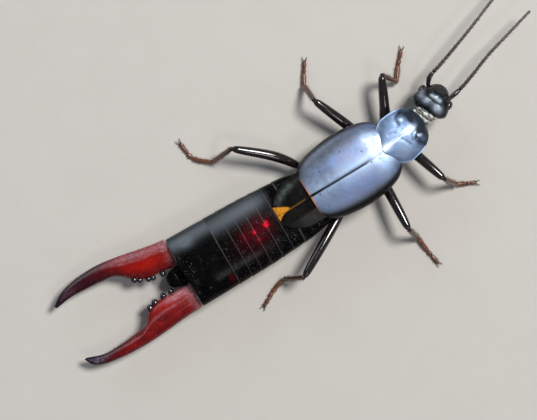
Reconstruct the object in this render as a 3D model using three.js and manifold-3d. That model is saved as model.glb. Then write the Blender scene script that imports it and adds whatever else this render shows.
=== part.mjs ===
// A male earwig at life size, in millimetres.
// +Z is up, the floor is Z = 0, the head points to -Y and the animal's left is +X.
import * as THREE from 'three';
import { mergeVertices } from 'three/addons/utils/BufferGeometryUtils.js';
import Module from 'manifold-3d';

const wasm = await Module();
wasm.setup();

// Driving dimensions, in the body's own frame: X = 0 is the middle line of the abdomen
// The part's origin, at the middle of its box on the floor
const ORIGIN = { x: -0.018, y: -3.748 };
// Clear space between two pieces that meet, and round the small eyes
const GAP = 0.26;
const EYE_GAP = 0.14;
const TURN = Math.PI * 2;
const DEGREE = Math.PI / 180;

// The abdomen runs straight back along the Y axis; each ring ends in a low lip over the next
const ABDOMEN = {
  front: -3.0,
  rings: [-1.2, -0.15, 0.87, 1.9, 2.8, 3.7, 4.84],
  end: 8.15,
  halfWidth: [[-3, 2.5], [-2, 2.66], [-0.4, 2.76], [1.4, 2.87], [3, 2.92], [8.15, 2.98]],
  top: [[-3, 2.35], [-0.6, 2.76], [1.2, 3.06], [3, 3.3], [8.15, 3.38]],
  bottom: [[-3, 0.62], [0, 0.46], [4, 0.42], [8.15, 0.55]],
  squareness: 2.5,
  lip: 0.035,
  swelling: { x: 1.75, y: 7.3, width: 0.75, length: 0.8, height: 0.14 },
  groove: { width: 0.3, depth: 0.07 },
};

// The wing covers lie straight along the thorax, turned a little to the left
const WINGS = {
  x: 0.35,
  y: -3.17,
  turn: 2.3 * DEGREE,
  length: 7.5,
  halfWidth: [
    [-7.5, 2.0], [-7.3, 2.2], [-6.7, 2.62], [-6, 2.86], [-5, 3.04], [-3.9, 3.1],
    [-2.9, 3.04], [-1.9, 2.9], [-1.2, 2.72], [-0.6, 2.44], [-0.2, 2.06], [0, 1.78],
  ],
  top: [[-7.5, 3.8], [-5.5, 4.06], [-3, 4.1], [0, 3.85]],
  edgeDrop: 1.15,
  edgePower: 3,
  thickness: 0.52,
};

// The folded wing tips show behind the wing covers, cut square at their rear
const WING_TIP = {
  length: 2.9,
  outer: [[0, 2.1], [0.9, 2.04], [1.5, 1.88], [2, 1.62], [2.4, 1.36], [2.7, 1.06], [2.9, 0.78]],
  top: [[0, 3.62], [1.4, 3.56], [2.9, 3.42]],
  edgeDrop: 0.24,
  thickness: 0.42,
};

// The shield behind the head, with two low swellings and a groove between them
const PRONOTUM = {
  x: 0.84,
  y: -11.84,
  turn: 9.5 * DEGREE,
  front: -2.12,
  rear: 2.0,
  halfWidth: [
    [-2.12, 0.5], [-1.95, 0.92], [-1.55, 1.5], [-0.9, 1.86], [-0.1, 2.02],
    [0.5, 2.05], [1, 1.9], [1.4, 1.6], [1.78, 1.04], [2, 0.45],
  ],
  top: [[-2.12, 3.02], [-1.9, 3.24], [-1.5, 3.47], [-0.8, 3.71], [0.3, 3.87], [2, 3.96]],
  edgeDrop: 0.34,
  lobe: { across: 0.5, y: -0.85, width: 0.24, length: 0.5, height: 0.13 },
  groove: { width: 0.14, depth: 0.09, course: [[-1.9, 0], [-1.2, 1], [0.4, 0.8], [1.4, 0]] },
  thickness: 0.52,
  clear: { top: 5, height: 4 },
};

// The three lengths of the thorax, under the shield and the wing covers
const THORAX = {
  halfWidth: [
    [-13.2, 0.95], [-12.2, 1.35], [-10.6, 1.55], [-9, 1.95], [-6, 2.1], [-5.4, 2.1], [-3.3, 2.3],
  ],
  top: [[-13.2, 2.7], [-12, 3.0], [-10, 3.05], [-6, 3.2], [-3.3, 2.95]],
  bottom: [[-13.2, 1.5], [-12, 1.05], [-9, 0.82], [-6, 0.72], [-3.3, 0.72]],
  centre: [[-13.2, 1.18], [-10, 0.62], [-6, 0.46], [-5.4, 0.4333], [-3.3, 0.12]],
  squareness: 2.6,
  lengths: { prothorax: [-12.95, -10.15], mesothorax: [-9.89, -6.95], metathorax: [-6.69, -3.3] },
};

// The head is turned to the left, bent down and tilted over a little
const HEAD = {
  x: 1.9,
  y: -15.53,
  z: 2.3,
  turn: 27.5 * DEGREE,
  pitch: 18 * DEGREE,
  roll: 13 * DEGREE,
  front: -1.36,
  back: 1.22,
  halfWidth: [
    [-1.36, 0.4], [-1.2, 0.64], [-0.9, 0.88], [-0.6, 1.1], [-0.2, 1.36],
    [0.3, 1.5], [0.65, 1.54], [0.92, 1.34], [1.1, 1.02], [1.22, 0.62],
  ],
  halfHeight: [[-1.36, 0.3], [-0.9, 0.56], [-0.2, 0.8], [0.6, 0.86], [1.22, 0.5]],
  squareness: 2.3,
  lobe: { x: 0.66, y: 0.72, width: 0.42, length: 0.45, height: 0.08 },
  groove: { width: 0.16, depth: 0.1 },
  notch: { x: 0.12, width: 0.66, depth: 0.3 },
};
const EYE = { x: 1.26, y: -0.22, z: 0.1, radii: [0.27, 0.4, 0.34] };
const NECK = { front: [1.34, -14.44, 2.6], rear: [1.12, -12.6, 2.12], halfWidth: 0.74, halfHeight: 0.48 };
const JAWS = { front: -1.6, back: -0.8, halfWidth: 0.52, z: -0.5, drop: 0.35, halfHeight: 0.26 };

// Feelers: a root on the head, in the head's frame, then points in the body's frame
const FEELER = {
  root: [0.92, -0.62, 0.12],
  segments: 20,
  firstShare: 0.12,
  radius: 0.27,
  tipRadius: 0.15,
  waist: 0.78,
  l: [
    [3.62, -16.15, 2.3], [4.05, -17.3, 2.5], [4.75, -19.2, 2.7],
    [5.5, -21.2, 2.65], [6.25, -23.1, 2.4], [6.9, -24.9, 2.1],
  ],
  r: [
    [1.6, -17.76, 2.35], [2.02, -18.95, 2.55], [2.8, -20.9, 2.7],
    [3.33, -22.7, 2.6], [3.8, -24.4, 2.4], [4.15, -25.7, 2.15],
  ],
};
const PALP = {
  root: [0.5, -0.95, -0.35],
  radius: 0.25,
  tipRadius: 0.17,
  course: [[0.92, -1.15, -0.86], [0.82, -1.42, -1.2], [0.5, -1.55, -1.38]],
};

// Legs: root inside the thorax, knee, ankle and two points of the foot on the floor.
// A bow moves the middle of the thigh aside
const LEGS = {
  front_l: {
    root: [1.3, -11.05, 1.35],
    knee: [5.66, -12.9, 2.6],
    ankle: [4.48, -14],
    foot: [[5.5, -14.75], [6.5, -15.6]],
  },
  front_r: {
    root: [0.6, -11.7, 1.35],
    knee: [-3.85, -13.15, 2.6],
    ankle: [-4.95, -14.15],
    foot: [[-5.28, -14.85], [-5.62, -15.55]],
  },
  mid_l: {
    root: [1.5, -9.65, 1.2],
    knee: [6.6, -7.32, 2.6],
    ankle: [7.9, -7.45],
    foot: [[8.6, -7.85], [9.55, -8.45]],
  },
  mid_r: {
    root: [-0.5, -9.05, 1.2],
    knee: [-5.9, -8.75, 2.6],
    ankle: [-7.1, -9.35],
    foot: [[-8.3, -9.5], [-9.6, -9.75]],
  },
  hind_l: {
    root: [1.5, -4.7, 1.15],
    bow: [0.1, -0.42],
    knee: [6.57, 0.15, 2.6],
    ankle: [6.3, 1.82],
    foot: [[7.35, 3], [8.85, 3.3]],
  },
  hind_r: {
    root: [-1.15, -6.6, 1.15],
    knee: [-4.97, 0.27, 2.6],
    ankle: [-4.5, 1.6],
    foot: [[-4.85, 2.6], [-5.6, 3.95]],
  },
};
// Radii along each length of a leg, how far a femur bows up, and heights over the floor
const LEG = {
  femur: [[0, 0.5], [0.2, 0.46], [0.3, 0.38], [0.5, 0.4], [0.75, 0.37], [0.93, 0.31], [1, 0.2]],
  tibia: [[0, 0.25], [0.5, 0.25], [0.9, 0.265], [1, 0.2]],
  foot: [
    [0, 0.25], [0.46, 0.24], [0.5, 0.2], [0.54, 0.235],
    [0.66, 0.19], [0.7, 0.22], [0.9, 0.2], [1, 0.15],
  ],
  bow: 0.14,
  ankleHeight: 0.34,
  soleHeight: 0.17,
};
const CLAW = { length: 0.4, radius: 0.09, spread: 28 * DEGREE, sunk: 0.14 };

// Pincers: matching points on the outer and the inner edge, from the root to the tip
const PINCERS = {
  l: {
    outer: [
      [3.04, 8.42], [3.27, 9.7], [3.52, 11], [3.76, 12.3], [3.92, 13.6],
      [3.91, 14.9], [3.77, 16.1], [3.4, 17.3], [2.78, 18.2],
    ],
    inner: [
      [0.72, 8.42], [0.98, 9.6], [1.02, 10.7], [1.45, 11.7], [2.4, 12.9],
      [2.62, 14.1], [2.72, 15.4], [2.76, 16.7], [2.58, 18.06],
    ],
  },
  r: {
    outer: [
      [-2.98, 8.42], [-3.1, 9.9], [-3.24, 11.3], [-3.36, 12.8], [-3.38, 14.2],
      [-3.3, 15.6], [-3.08, 17], [-2.66, 17.86], [-1.96, 18.24],
    ],
    inner: [
      [-0.86, 8.42], [-0.86, 9.6], [-0.84, 10.7], [-1.12, 11.9], [-1.98, 12.8],
      [-2.26, 14.1], [-2.38, 15.4], [-2.36, 16.7], [-1.92, 18.04],
    ],
  },
  halfHeight: [[0, 0.72], [0.2, 0.7], [0.4, 0.6], [0.6, 0.47], [0.85, 0.3], [1, 0.1]],
  middle: [[0, 1.78], [0.4, 1.5], [0.75, 1.25], [1, 1.3]],
  ridge: 1.25,
};
// Teeth: where each stands along the inner edge, its radius, and how many radii its middle is outside the edge
const TEETH = {
  l: [[0.13, 0.23, 0.85], [0.222, 0.21, 0.3], [0.265, 0.2, 0.3], [0.345, 0.2, 0.25], [0.388, 0.22, 0.25]],
  r: [[0.147, 0.2, 0.7], [0.227, 0.22, 0.3], [0.312, 0.24, 0.2], [0.368, 0.25, 0.2]],
};
const TOOTH_UP = 0.08;
const PYGIDIUM = { x: -0.07, y: 8.42, length: 1.15, halfWidth: 0.5, halfHeight: 0.62, z: 1.55 };

// Colours seen in the photograph, with their roughness
const COLOURS = {
  shell: [0x0b0a0c, 0.22],
  wing: [0x5d6486, 0.32],
  shield: [0x4c5468, 0.3],
  tip: [0x12120f, 0.2],
  belly: [0x140505, 0.25],
  neck: [0xb9a283, 0.6],
  eye: [0x060507, 0.15],
  leg: [0x120b0b, 0.25],
  foot: [0x5a2412, 0.35],
  pincer: [0x8c1410, 0.22],
  feeler: [0x2a2422, 0.35],
};
const materials = {};
for (const [name, [color, roughness]] of Object.entries(COLOURS)) {
  materials[name] = new THREE.MeshStandardMaterial({ color, roughness, metalness: 0 });
}

// A smooth value at a place, from a few stops that it never overshoots
function smooth(place, stops) {
  const last = stops.length - 1;
  if (place <= stops[0][0]) return stops[0][1];
  if (place >= stops[last][0]) return stops[last][1];
  const slope = (i) => (stops[i + 1][1] - stops[i][1]) / (stops[i + 1][0] - stops[i][0]);
  const tangent = (i) => {
    if (i === 0) return slope(0);
    if (i === last) return slope(last - 1);
    const before = slope(i - 1);
    const after = slope(i);
    return before * after <= 0 ? 0 : (2 * before * after) / (before + after);
  };
  let i = 0;
  while (place > stops[i + 1][0]) i += 1;
  const span = stops[i + 1][0] - stops[i][0];
  const rise = stops[i + 1][1] - stops[i][1];
  const t = (place - stops[i][0]) / span;
  const near = tangent(i) * span - rise;
  const far = rise - tangent(i + 1) * span;
  return stops[i][1] + rise * t + t * (1 - t) * (near * (1 - t) + far * t);
}

// A bump of height 1 that fades away from its middle
function bump(...offsets) {
  return Math.exp(-offsets.reduce((sum, offset) => sum + offset * offset, 0));
}

function signedPower(base, power) {
  return Math.sign(base) * Math.abs(base) ** power;
}

// A point of an oval, squarer as squareness grows past 2; angle 0 is its top
function oval(angle, halfWidth, halfHeight, squareness = 2) {
  const power = 2 / squareness;
  return [halfWidth * signedPower(Math.sin(angle), power), halfHeight * signedPower(Math.cos(angle), power)];
}

// A share of the way from front to rear, with closer steps near both ends
function eased(share, front, rear) {
  return front + ((rear - front) * (1 - Math.cos(share * Math.PI))) / 2;
}

function vector(point) {
  return new THREE.Vector3().fromArray(point);
}

// A closed body of rings: place gives the point at a share of the length and an angle
function loft(sides, steps, place) {
  const shape = new THREE.CylinderGeometry(1, 1, 1, sides, steps);
  const spots = shape.attributes.position;
  for (let i = 0; i < spots.count; i += 1) {
    const share = Math.round((spots.getY(i) + 0.5) * steps) / steps;
    const x = spots.getX(i);
    const z = spots.getZ(i);
    const side = (Math.round((Math.atan2(x, z) / TURN) * sides) + sides) % sides;
    const point = new THREE.Vector3();
    if (Math.hypot(x, z) > 0.5) {
      point.fromArray(place(share, (side * TURN) / sides));
    } else {
      for (let k = 0; k < sides; k += 1) point.add(vector(place(share, (k * TURN) / sides)));
      point.divideScalar(sides);
    }
    spots.setXYZ(i, point.x, point.y, point.z);
  }
  return shape;
}

// A tube along points, with a radius for each share of its length
function tube(points, radius, sides, steps, settle = (point) => point) {
  const curve = new THREE.CatmullRomCurve3(points.map(vector), false, 'centripetal');
  const frames = curve.computeFrenetFrames(steps, false);
  return loft(sides, steps, (share, angle) => {
    const i = Math.round(share * steps);
    const point = curve.getPointAt(share);
    point.addScaledVector(frames.normals[i], Math.cos(angle) * radius(share));
    point.addScaledVector(frames.binormals[i], Math.sin(angle) * radius(share));
    return settle(point.toArray());
  });
}

// A plate between an inner and an outer edge, with an upper surface and a thickness
function plate({ sides, steps, front, rear, inner, outer, top, thickness, endShare }) {
  return loft(sides, steps, (share, angle) => {
    const y = eased(share, front, rear);
    const x = (inner(y) + outer(y)) / 2 + ((outer(y) - inner(y)) / 2) * Math.sin(angle);
    const end = endShare + (1 - endShare) * Math.sin(share * Math.PI) ** 0.5;
    const z = top(x, y) - thickness / 2 + (thickness / 2) * end * signedPower(Math.cos(angle), 0.6);
    return [x, y, z];
  });
}

// A solid, facing outwards, from a closed geometry
function toSolid(geometry) {
  const bare = new THREE.BufferGeometry();
  bare.setAttribute('position', geometry.attributes.position.clone());
  bare.setIndex(geometry.index.clone());
  const merged = mergeVertices(bare, 1e-4);
  const vertProperties = new Float32Array(merged.attributes.position.array);
  const corner = (i) => new THREE.Vector3().fromArray(vertProperties, i * 3);
  const faces = [];
  let volume = 0;
  for (let i = 0; i < merged.index.count; i += 3) {
    const [a, b, c] = [0, 1, 2].map((k) => merged.index.getX(i + k));
    if (a !== b && b !== c && c !== a) {
      faces.push([a, b, c]);
      volume += corner(a).dot(corner(b).cross(corner(c)));
    }
  }
  const triVerts = new Uint32Array(faces.flatMap(([a, b, c]) => (volume > 0 ? [a, b, c] : [a, c, b])));
  return new wasm.Manifold(new wasm.Mesh({ numProp: 3, vertProperties, triVerts }));
}

// The largest closed surface of a solid, as a geometry
function toGeometry(solid) {
  const pieces = solid.decompose();
  pieces.sort((a, b) => b.volume() - a.volume());
  const mesh = pieces[0].getMesh();
  const geometry = new THREE.BufferGeometry();
  geometry.setAttribute('position', new THREE.BufferAttribute(new Float32Array(mesh.vertProperties), 3));
  geometry.setIndex(new THREE.BufferAttribute(new Uint32Array(mesh.triVerts), 1));
  geometry.computeVertexNormals();
  return geometry;
}

// The same geometry seen from another group's frame
function moved(geometry, from, to) {
  const matrix = to.matrixWorld.clone().invert().multiply(from.matrixWorld);
  return geometry.clone().applyMatrix4(matrix);
}

// The whole animal, with groups for the parts that are turned on it
const earwig = new THREE.Group();
earwig.position.set(-ORIGIN.x, -ORIGIN.y, 0);
const wings = new THREE.Group();
wings.position.set(WINGS.x, WINGS.y, 0);
wings.rotation.z = WINGS.turn;
const shield = new THREE.Group();
shield.position.set(PRONOTUM.x, PRONOTUM.y, 0);
shield.rotation.z = PRONOTUM.turn;
const headFrame = new THREE.Group();
headFrame.position.set(HEAD.x, HEAD.y, HEAD.z);
headFrame.rotation.set(HEAD.pitch, HEAD.roll, HEAD.turn, 'ZYX');
earwig.add(wings, shield, headFrame);
earwig.updateMatrixWorld(true);

function addMesh(group, name, solid, material) {
  const mesh = new THREE.Mesh(toGeometry(solid), materials[material]);
  mesh.name = name;
  group.add(mesh);
}

// The abdomen's surface at a place along it and an angle
function abdomenPoint(y, angle, scale) {
  const top = smooth(y, ABDOMEN.top);
  const bottom = smooth(y, ABDOMEN.bottom);
  const halfHeight = ((top - bottom) / 2) * scale;
  const [x, z] = oval(angle, smooth(y, ABDOMEN.halfWidth) * scale, halfHeight, ABDOMEN.squareness);
  return [x, y, (top + bottom) / 2 + z];
}

// A length of the abdomen from a first to a last ring edge
function abdomenLength(front, rear, edges) {
  const stops = [front, ...edges, rear];
  const stations = [[front, 1 - ABDOMEN.lip]];
  for (let i = 0; i < stops.length - 1; i += 1) {
    stations.push([stops[i] + (stops[i + 1] - stops[i]) * 0.35, 1 - ABDOMEN.lip * 0.4]);
    stations.push([stops[i + 1] - 0.06, 1]);
    if (i < edges.length) stations.push([stops[i + 1] + 0.06, 1 - ABDOMEN.lip]);
  }
  stations.push([rear, 1 - ABDOMEN.lip / 2]);
  return loft(24, stations.length - 1, (share, angle) => {
    const [y, scale] = stations[Math.round(share * (stations.length - 1))];
    return abdomenPoint(y, angle, scale);
  });
}

// The long last ring, swollen over the roots of the pincers and grooved along its middle
function lastRing(front) {
  const { swelling, groove } = ABDOMEN;
  return loft(32, 10, (share, angle) => {
    const y = eased(share, front, ABDOMEN.end);
    const scale = 1 - ABDOMEN.lip * 0.6 * (1 - Math.sin(share * Math.PI));
    const [x, , z] = abdomenPoint(y, angle, scale);
    const above = Math.max(0, Math.cos(angle));
    const over = bump((Math.abs(x) - swelling.x) / swelling.width, (y - swelling.y) / swelling.length);
    const along = bump(x / groove.width) * Math.sin(share * Math.PI);
    return [x, y, z + above * (swelling.height * over - groove.depth * along)];
  });
}

function addAbdomen() {
  const [a, b, c, d, e, f, g] = ABDOMEN.rings;
  const half = GAP / 2;
  const lengths = {
    abdomen_front: abdomenLength(ABDOMEN.front, c - half, [a, b]),
    abdomen_mid: abdomenLength(c + half, e - half, [d]),
    abdomen_rear: abdomenLength(e + half, g - half, [f]),
    last_tergite: lastRing(g + half),
    pygidium: loft(12, 4, (share, angle) => {
      const taper = 1 - 0.35 * share ** 2;
      const [x, z] = oval(angle, PYGIDIUM.halfWidth * taper, PYGIDIUM.halfHeight * taper, 3);
      return [PYGIDIUM.x + x, PYGIDIUM.y + PYGIDIUM.length * share, PYGIDIUM.z + z];
    }),
  };
  for (const [name, geometry] of Object.entries(lengths)) {
    addMesh(earwig, name, toSolid(geometry), 'belly');
  }
}

// A length of the thorax, grown outwards by a margin
function thoraxLength([front, rear], margin = 0) {
  return loft(20, 6, (share, angle) => {
    const y = front - margin + (rear - front + 2 * margin) * share;
    const top = smooth(y, THORAX.top);
    const bottom = smooth(y, THORAX.bottom);
    const end = margin > 0 ? 1 : 1 - 0.1 * (2 * share - 1) ** 4;
    const halfWidth = smooth(y, THORAX.halfWidth) * end + margin;
    const [x, z] = oval(angle, halfWidth, ((top - bottom) / 2) * end + margin, THORAX.squareness);
    return [smooth(y, THORAX.centre) + x, y, (top + bottom) / 2 + z];
  });
}

function addThorax() {
  for (const [name, ends] of Object.entries(THORAX.lengths)) {
    addMesh(earwig, name, toSolid(thoraxLength(ends)), 'leg');
  }
}

// The shield's upper surface
function shieldTop(x, y) {
  const { lobe, groove } = PRONOTUM;
  const across = Math.min(1, Math.abs(x) / smooth(y, PRONOTUM.halfWidth));
  const lobes = lobe.height * bump((across - lobe.across) / lobe.width, (y - lobe.y) / lobe.length);
  const line = groove.depth * bump(x / groove.width) * smooth(y, groove.course);
  return smooth(y, PRONOTUM.top) - PRONOTUM.edgeDrop * across ** 2.6 + lobes - line;
}

// The shield, grown outwards by a margin, or a block of its outline up to a given top
function shieldPlate(margin = 0, block = null) {
  const edge = (y) => smooth(y, PRONOTUM.halfWidth) + margin;
  return plate({
    sides: 28,
    steps: 14,
    front: PRONOTUM.front - margin,
    rear: PRONOTUM.rear + margin,
    inner: (y) => -edge(y),
    outer: edge,
    top: (x, y) => (block ? block.top : shieldTop(x, y) + margin),
    thickness: block ? block.height : PRONOTUM.thickness + 2 * margin,
    endShare: margin > 0 ? 1 : 0.5,
  });
}

// A wing cover's upper surface
function wingTop(x, y) {
  const across = Math.min(1, Math.abs(x) / smooth(y, WINGS.halfWidth));
  return smooth(y, WINGS.top) - WINGS.edgeDrop * across ** WINGS.edgePower;
}

function addWings() {
  addMesh(shield, 'pronotum', toSolid(shieldPlate()), 'shield');
  const around = toSolid(moved(shieldPlate(GAP, PRONOTUM.clear), shield, wings));
  for (const [name, side] of [['l', 1], ['r', -1]]) {
    const cover = plate({
      sides: 20,
      steps: 16,
      front: -WINGS.length,
      rear: 0,
      inner: () => (side * GAP) / 2,
      outer: (y) => side * smooth(y, WINGS.halfWidth),
      top: wingTop,
      thickness: WINGS.thickness,
      endShare: 0.6,
    });
    addMesh(wings, `wing_cover_${name}`, toSolid(cover).subtract(around), 'wing');
    const tip = plate({
      sides: 16,
      steps: 10,
      front: GAP,
      rear: WING_TIP.length,
      inner: () => (side * GAP) / 2,
      outer: (y) => side * smooth(y, WING_TIP.outer),
      top: (x, y) => smooth(y, WING_TIP.top) - WING_TIP.edgeDrop * (x / WING_TIP.outer[0][1]) ** 2,
      thickness: WING_TIP.thickness,
      endShare: 0.7,
    });
    addMesh(wings, `wing_tip_${name}`, toSolid(tip), 'tip');
  }
}

// The head in its own frame, grown outwards by a margin
function headGeometry(margin = 0) {
  const { lobe, groove, notch } = HEAD;
  return loft(26, 14, (share, angle) => {
    const y = eased(share, HEAD.front, HEAD.back);
    const halfWidth = smooth(y, HEAD.halfWidth) + margin;
    const [x, z] = oval(angle, halfWidth, smooth(y, HEAD.halfHeight) + margin, HEAD.squareness);
    const above = Math.max(0, Math.cos(angle));
    const behind = smooth(y, [[-0.2, 0], [HEAD.back, 1]]);
    const lobes = lobe.height * bump((Math.abs(x) - lobe.x) / lobe.width, (y - lobe.y) / lobe.length);
    const line = groove.depth * bump(x / groove.width) * behind;
    const dent = notch.depth * bump((x - notch.x) / notch.width) * behind ** 2;
    const reach = margin * Math.sign(y) * (2 * share - 1) ** 6;
    return [x, y + reach - dent, z + above * (lobes - line)];
  });
}

function addHead() {
  let head = toSolid(headGeometry());
  for (const [name, side] of [['l', 1], ['r', -1]]) {
    const ball = (grow) => {
      const geometry = new THREE.SphereGeometry(1, 14, 10);
      geometry.scale(...EYE.radii.map((radius) => radius + grow));
      geometry.translate(side * EYE.x, EYE.y, EYE.z);
      return toSolid(geometry);
    };
    head = head.subtract(ball(EYE_GAP));
    addMesh(headFrame, `eye_${name}`, ball(0), 'eye');
  }
  addMesh(headFrame, 'head', head, 'shell');
  const jaws = loft(14, 6, (share, angle) => {
    const taper = 1 - 0.45 * share ** 2;
    const [x, z] = oval(angle, JAWS.halfWidth * taper, JAWS.halfHeight * taper, 2.4);
    return [x, JAWS.back + (JAWS.front - JAWS.back) * share, JAWS.z - JAWS.drop * share + z];
  });
  addMesh(headFrame, 'mandibles', toSolid(jaws).subtract(toSolid(headGeometry(GAP))), 'shell');
}

// The soft neck fills the space between the shield and the back of the head, and turns with the head
function addNeck() {
  const from = vector(NECK.rear);
  const to = vector(NECK.front);
  const collar = loft(16, 8, (share, angle) => {
    const fold = 1 + 0.05 * Math.cos(share * TURN * 2);
    const [x, z] = oval(angle, NECK.halfWidth * fold, NECK.halfHeight * fold);
    const point = from.clone().lerp(to, share);
    return [point.x + x, point.y + x * Math.tan(HEAD.turn) * share, point.z + z];
  });
  const around = [
    moved(headGeometry(GAP), headFrame, earwig),
    moved(shieldPlate(GAP), shield, earwig),
    thoraxLength(THORAX.lengths.prothorax, GAP),
  ];
  const neck = around.reduce((solid, other) => solid.subtract(toSolid(other)), toSolid(collar));
  addMesh(earwig, 'neck', neck, 'neck');
}

// Feelers of beads: a long first segment, then many that narrow to the tip; and the short palps
function addFeelers() {
  const around = toSolid(moved(headGeometry(GAP), headFrame, earwig));
  const onHead = ([x, y, z], side) => {
    return headFrame.position.clone().add(vector([x * side, y, z]).applyEuler(headFrame.rotation)).toArray();
  };
  for (const [name, side] of [['l', 1], ['r', -1]]) {
    const feeler = tube([onHead(FEELER.root, side), ...FEELER[name]], (share) => {
      const taper = FEELER.radius + (FEELER.tipRadius - FEELER.radius) * share;
      const waist = share > FEELER.firstShare && (share * FEELER.segments) % 1 < 0.25;
      return taper * (waist ? FEELER.waist : 1);
    }, 6, FEELER.segments * 3);
    addMesh(earwig, `antenna_${name}`, toSolid(feeler).subtract(around), 'feeler');
    const course = [PALP.root, ...PALP.course].map((point) => onHead(point, side));
    const palp = tube(course, (share) => PALP.radius + (PALP.tipRadius - PALP.radius) * share, 6, 12);
    addMesh(earwig, `palp_${name}`, toSolid(palp).subtract(around), 'feeler');
  }
}

// A foot on the floor, with two claws joined to its end
function footSolid(ankle, leg) {
  const [middle, toe] = leg.foot.map(([x, y]) => vector([x, y, LEG.soleHeight]));
  const course = [ankle.toArray(), middle.toArray(), toe.toArray()];
  const onFloor = ([x, y, z]) => [x, y, Math.max(z, 0)];
  let foot = toSolid(tube(course, (share) => smooth(share, LEG.foot), 8, 12, onFloor));
  const ahead = toe.clone().sub(middle).normalize();
  for (const turn of [-CLAW.spread, CLAW.spread]) {
    const away = ahead.clone().applyAxisAngle(new THREE.Vector3(0, 0, 1), turn);
    const root = toe.clone().addScaledVector(away, -CLAW.sunk);
    const tip = toe.clone().addScaledVector(away, CLAW.length).setZ(CLAW.radius * 0.3);
    const claw = tube([root.toArray(), tip.toArray()], (share) => CLAW.radius * (1 - 0.8 * share), 5, 2);
    foot = foot.add(toSolid(claw));
  }
  return foot;
}

function addLegs() {
  const bodies = Object.values(THORAX.lengths).map((ends) => toSolid(thoraxLength(ends, GAP)));
  for (const [name, leg] of Object.entries(LEGS)) {
    const knee = vector(leg.knee);
    const ankle = vector([...leg.ankle, LEG.ankleHeight]);
    const [aside, back] = leg.bow ?? [0, 0];
    const bend = vector(leg.root).lerp(knee, 0.5).add(vector([aside, back, LEG.bow]));
    const limb = (points, radii, sides, steps) => (margin) => {
      return toSolid(tube(points, (share) => margin + smooth(share, radii), sides, steps));
    };
    const femur = limb([leg.root, bend.toArray(), leg.knee], LEG.femur, 10, 10);
    const tibia = limb([leg.knee, ankle.toArray()], LEG.tibia, 8, 6);
    addMesh(earwig, `femur_${name}`, bodies.reduce((solid, body) => solid.subtract(body), femur(0)), 'leg');
    addMesh(earwig, `tibia_${name}`, tibia(0).subtract(femur(GAP)), 'leg');
    addMesh(earwig, `tarsus_${name}`, footSolid(ankle, leg).subtract(tibia(GAP)), 'foot');
  }
}

// A pincer from its two edges, with blunt teeth joined to the inner one near the root
function addPincers() {
  for (const name of ['l', 'r']) {
    const [outer, inner] = ['outer', 'inner'].map((edge) => {
      const points = PINCERS[name][edge].map(([x, y]) => vector([x, y, 0]));
      return new THREE.CatmullRomCurve3(points, false, 'centripetal');
    });
    let pincer = toSolid(loft(16, 24, (share, angle) => {
      const from = inner.getPoint(share);
      const to = outer.getPoint(share);
      const [across] = oval(angle, 1, 1, 2.2);
      const up = signedPower(Math.cos(angle), Math.cos(angle) > 0 ? PINCERS.ridge : 0.85);
      const point = from.lerp(to, (1 + across) / 2);
      return [point.x, point.y, smooth(share, PINCERS.middle) + up * smooth(share, PINCERS.halfHeight)];
    }));
    for (const [at, radius, out] of TEETH[name]) {
      const root = inner.getPoint(at);
      const away = root.clone().sub(outer.getPoint(at)).normalize();
      const ball = new THREE.SphereGeometry(radius, 8, 6);
      root.addScaledVector(away, radius * out);
      ball.translate(root.x, root.y, smooth(at, PINCERS.middle) + TOOTH_UP);
      pincer = pincer.add(toSolid(ball));
    }
    addMesh(earwig, `pincer_${name}`, pincer, 'pincer');
  }
}

addAbdomen();
addThorax();
addWings();
addHead();
addNeck();
addFeelers();
addLegs();
addPincers();

export default earwig;
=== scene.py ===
# The looks of a male earwig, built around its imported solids.
import math
import bpy
import numpy as np
from mathutils import Matrix, Vector


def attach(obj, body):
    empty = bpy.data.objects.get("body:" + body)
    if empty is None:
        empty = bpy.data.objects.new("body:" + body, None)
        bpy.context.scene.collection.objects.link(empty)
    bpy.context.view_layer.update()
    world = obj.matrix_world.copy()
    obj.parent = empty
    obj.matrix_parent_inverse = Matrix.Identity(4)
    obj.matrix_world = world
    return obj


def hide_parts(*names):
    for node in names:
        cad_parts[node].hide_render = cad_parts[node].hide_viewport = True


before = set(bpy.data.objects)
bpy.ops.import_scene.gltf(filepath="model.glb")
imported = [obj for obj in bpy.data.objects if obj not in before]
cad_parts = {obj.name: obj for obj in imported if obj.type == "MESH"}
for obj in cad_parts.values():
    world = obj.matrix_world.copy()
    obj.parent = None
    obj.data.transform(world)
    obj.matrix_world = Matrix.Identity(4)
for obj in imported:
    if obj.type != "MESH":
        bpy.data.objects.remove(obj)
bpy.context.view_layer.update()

MM = 0.001
TURN = 2 * math.pi
FLOOR_CLEAR = 0.004
SIDES = (("l", 1), ("r", -1))
rng = np.random.default_rng(7)

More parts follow.
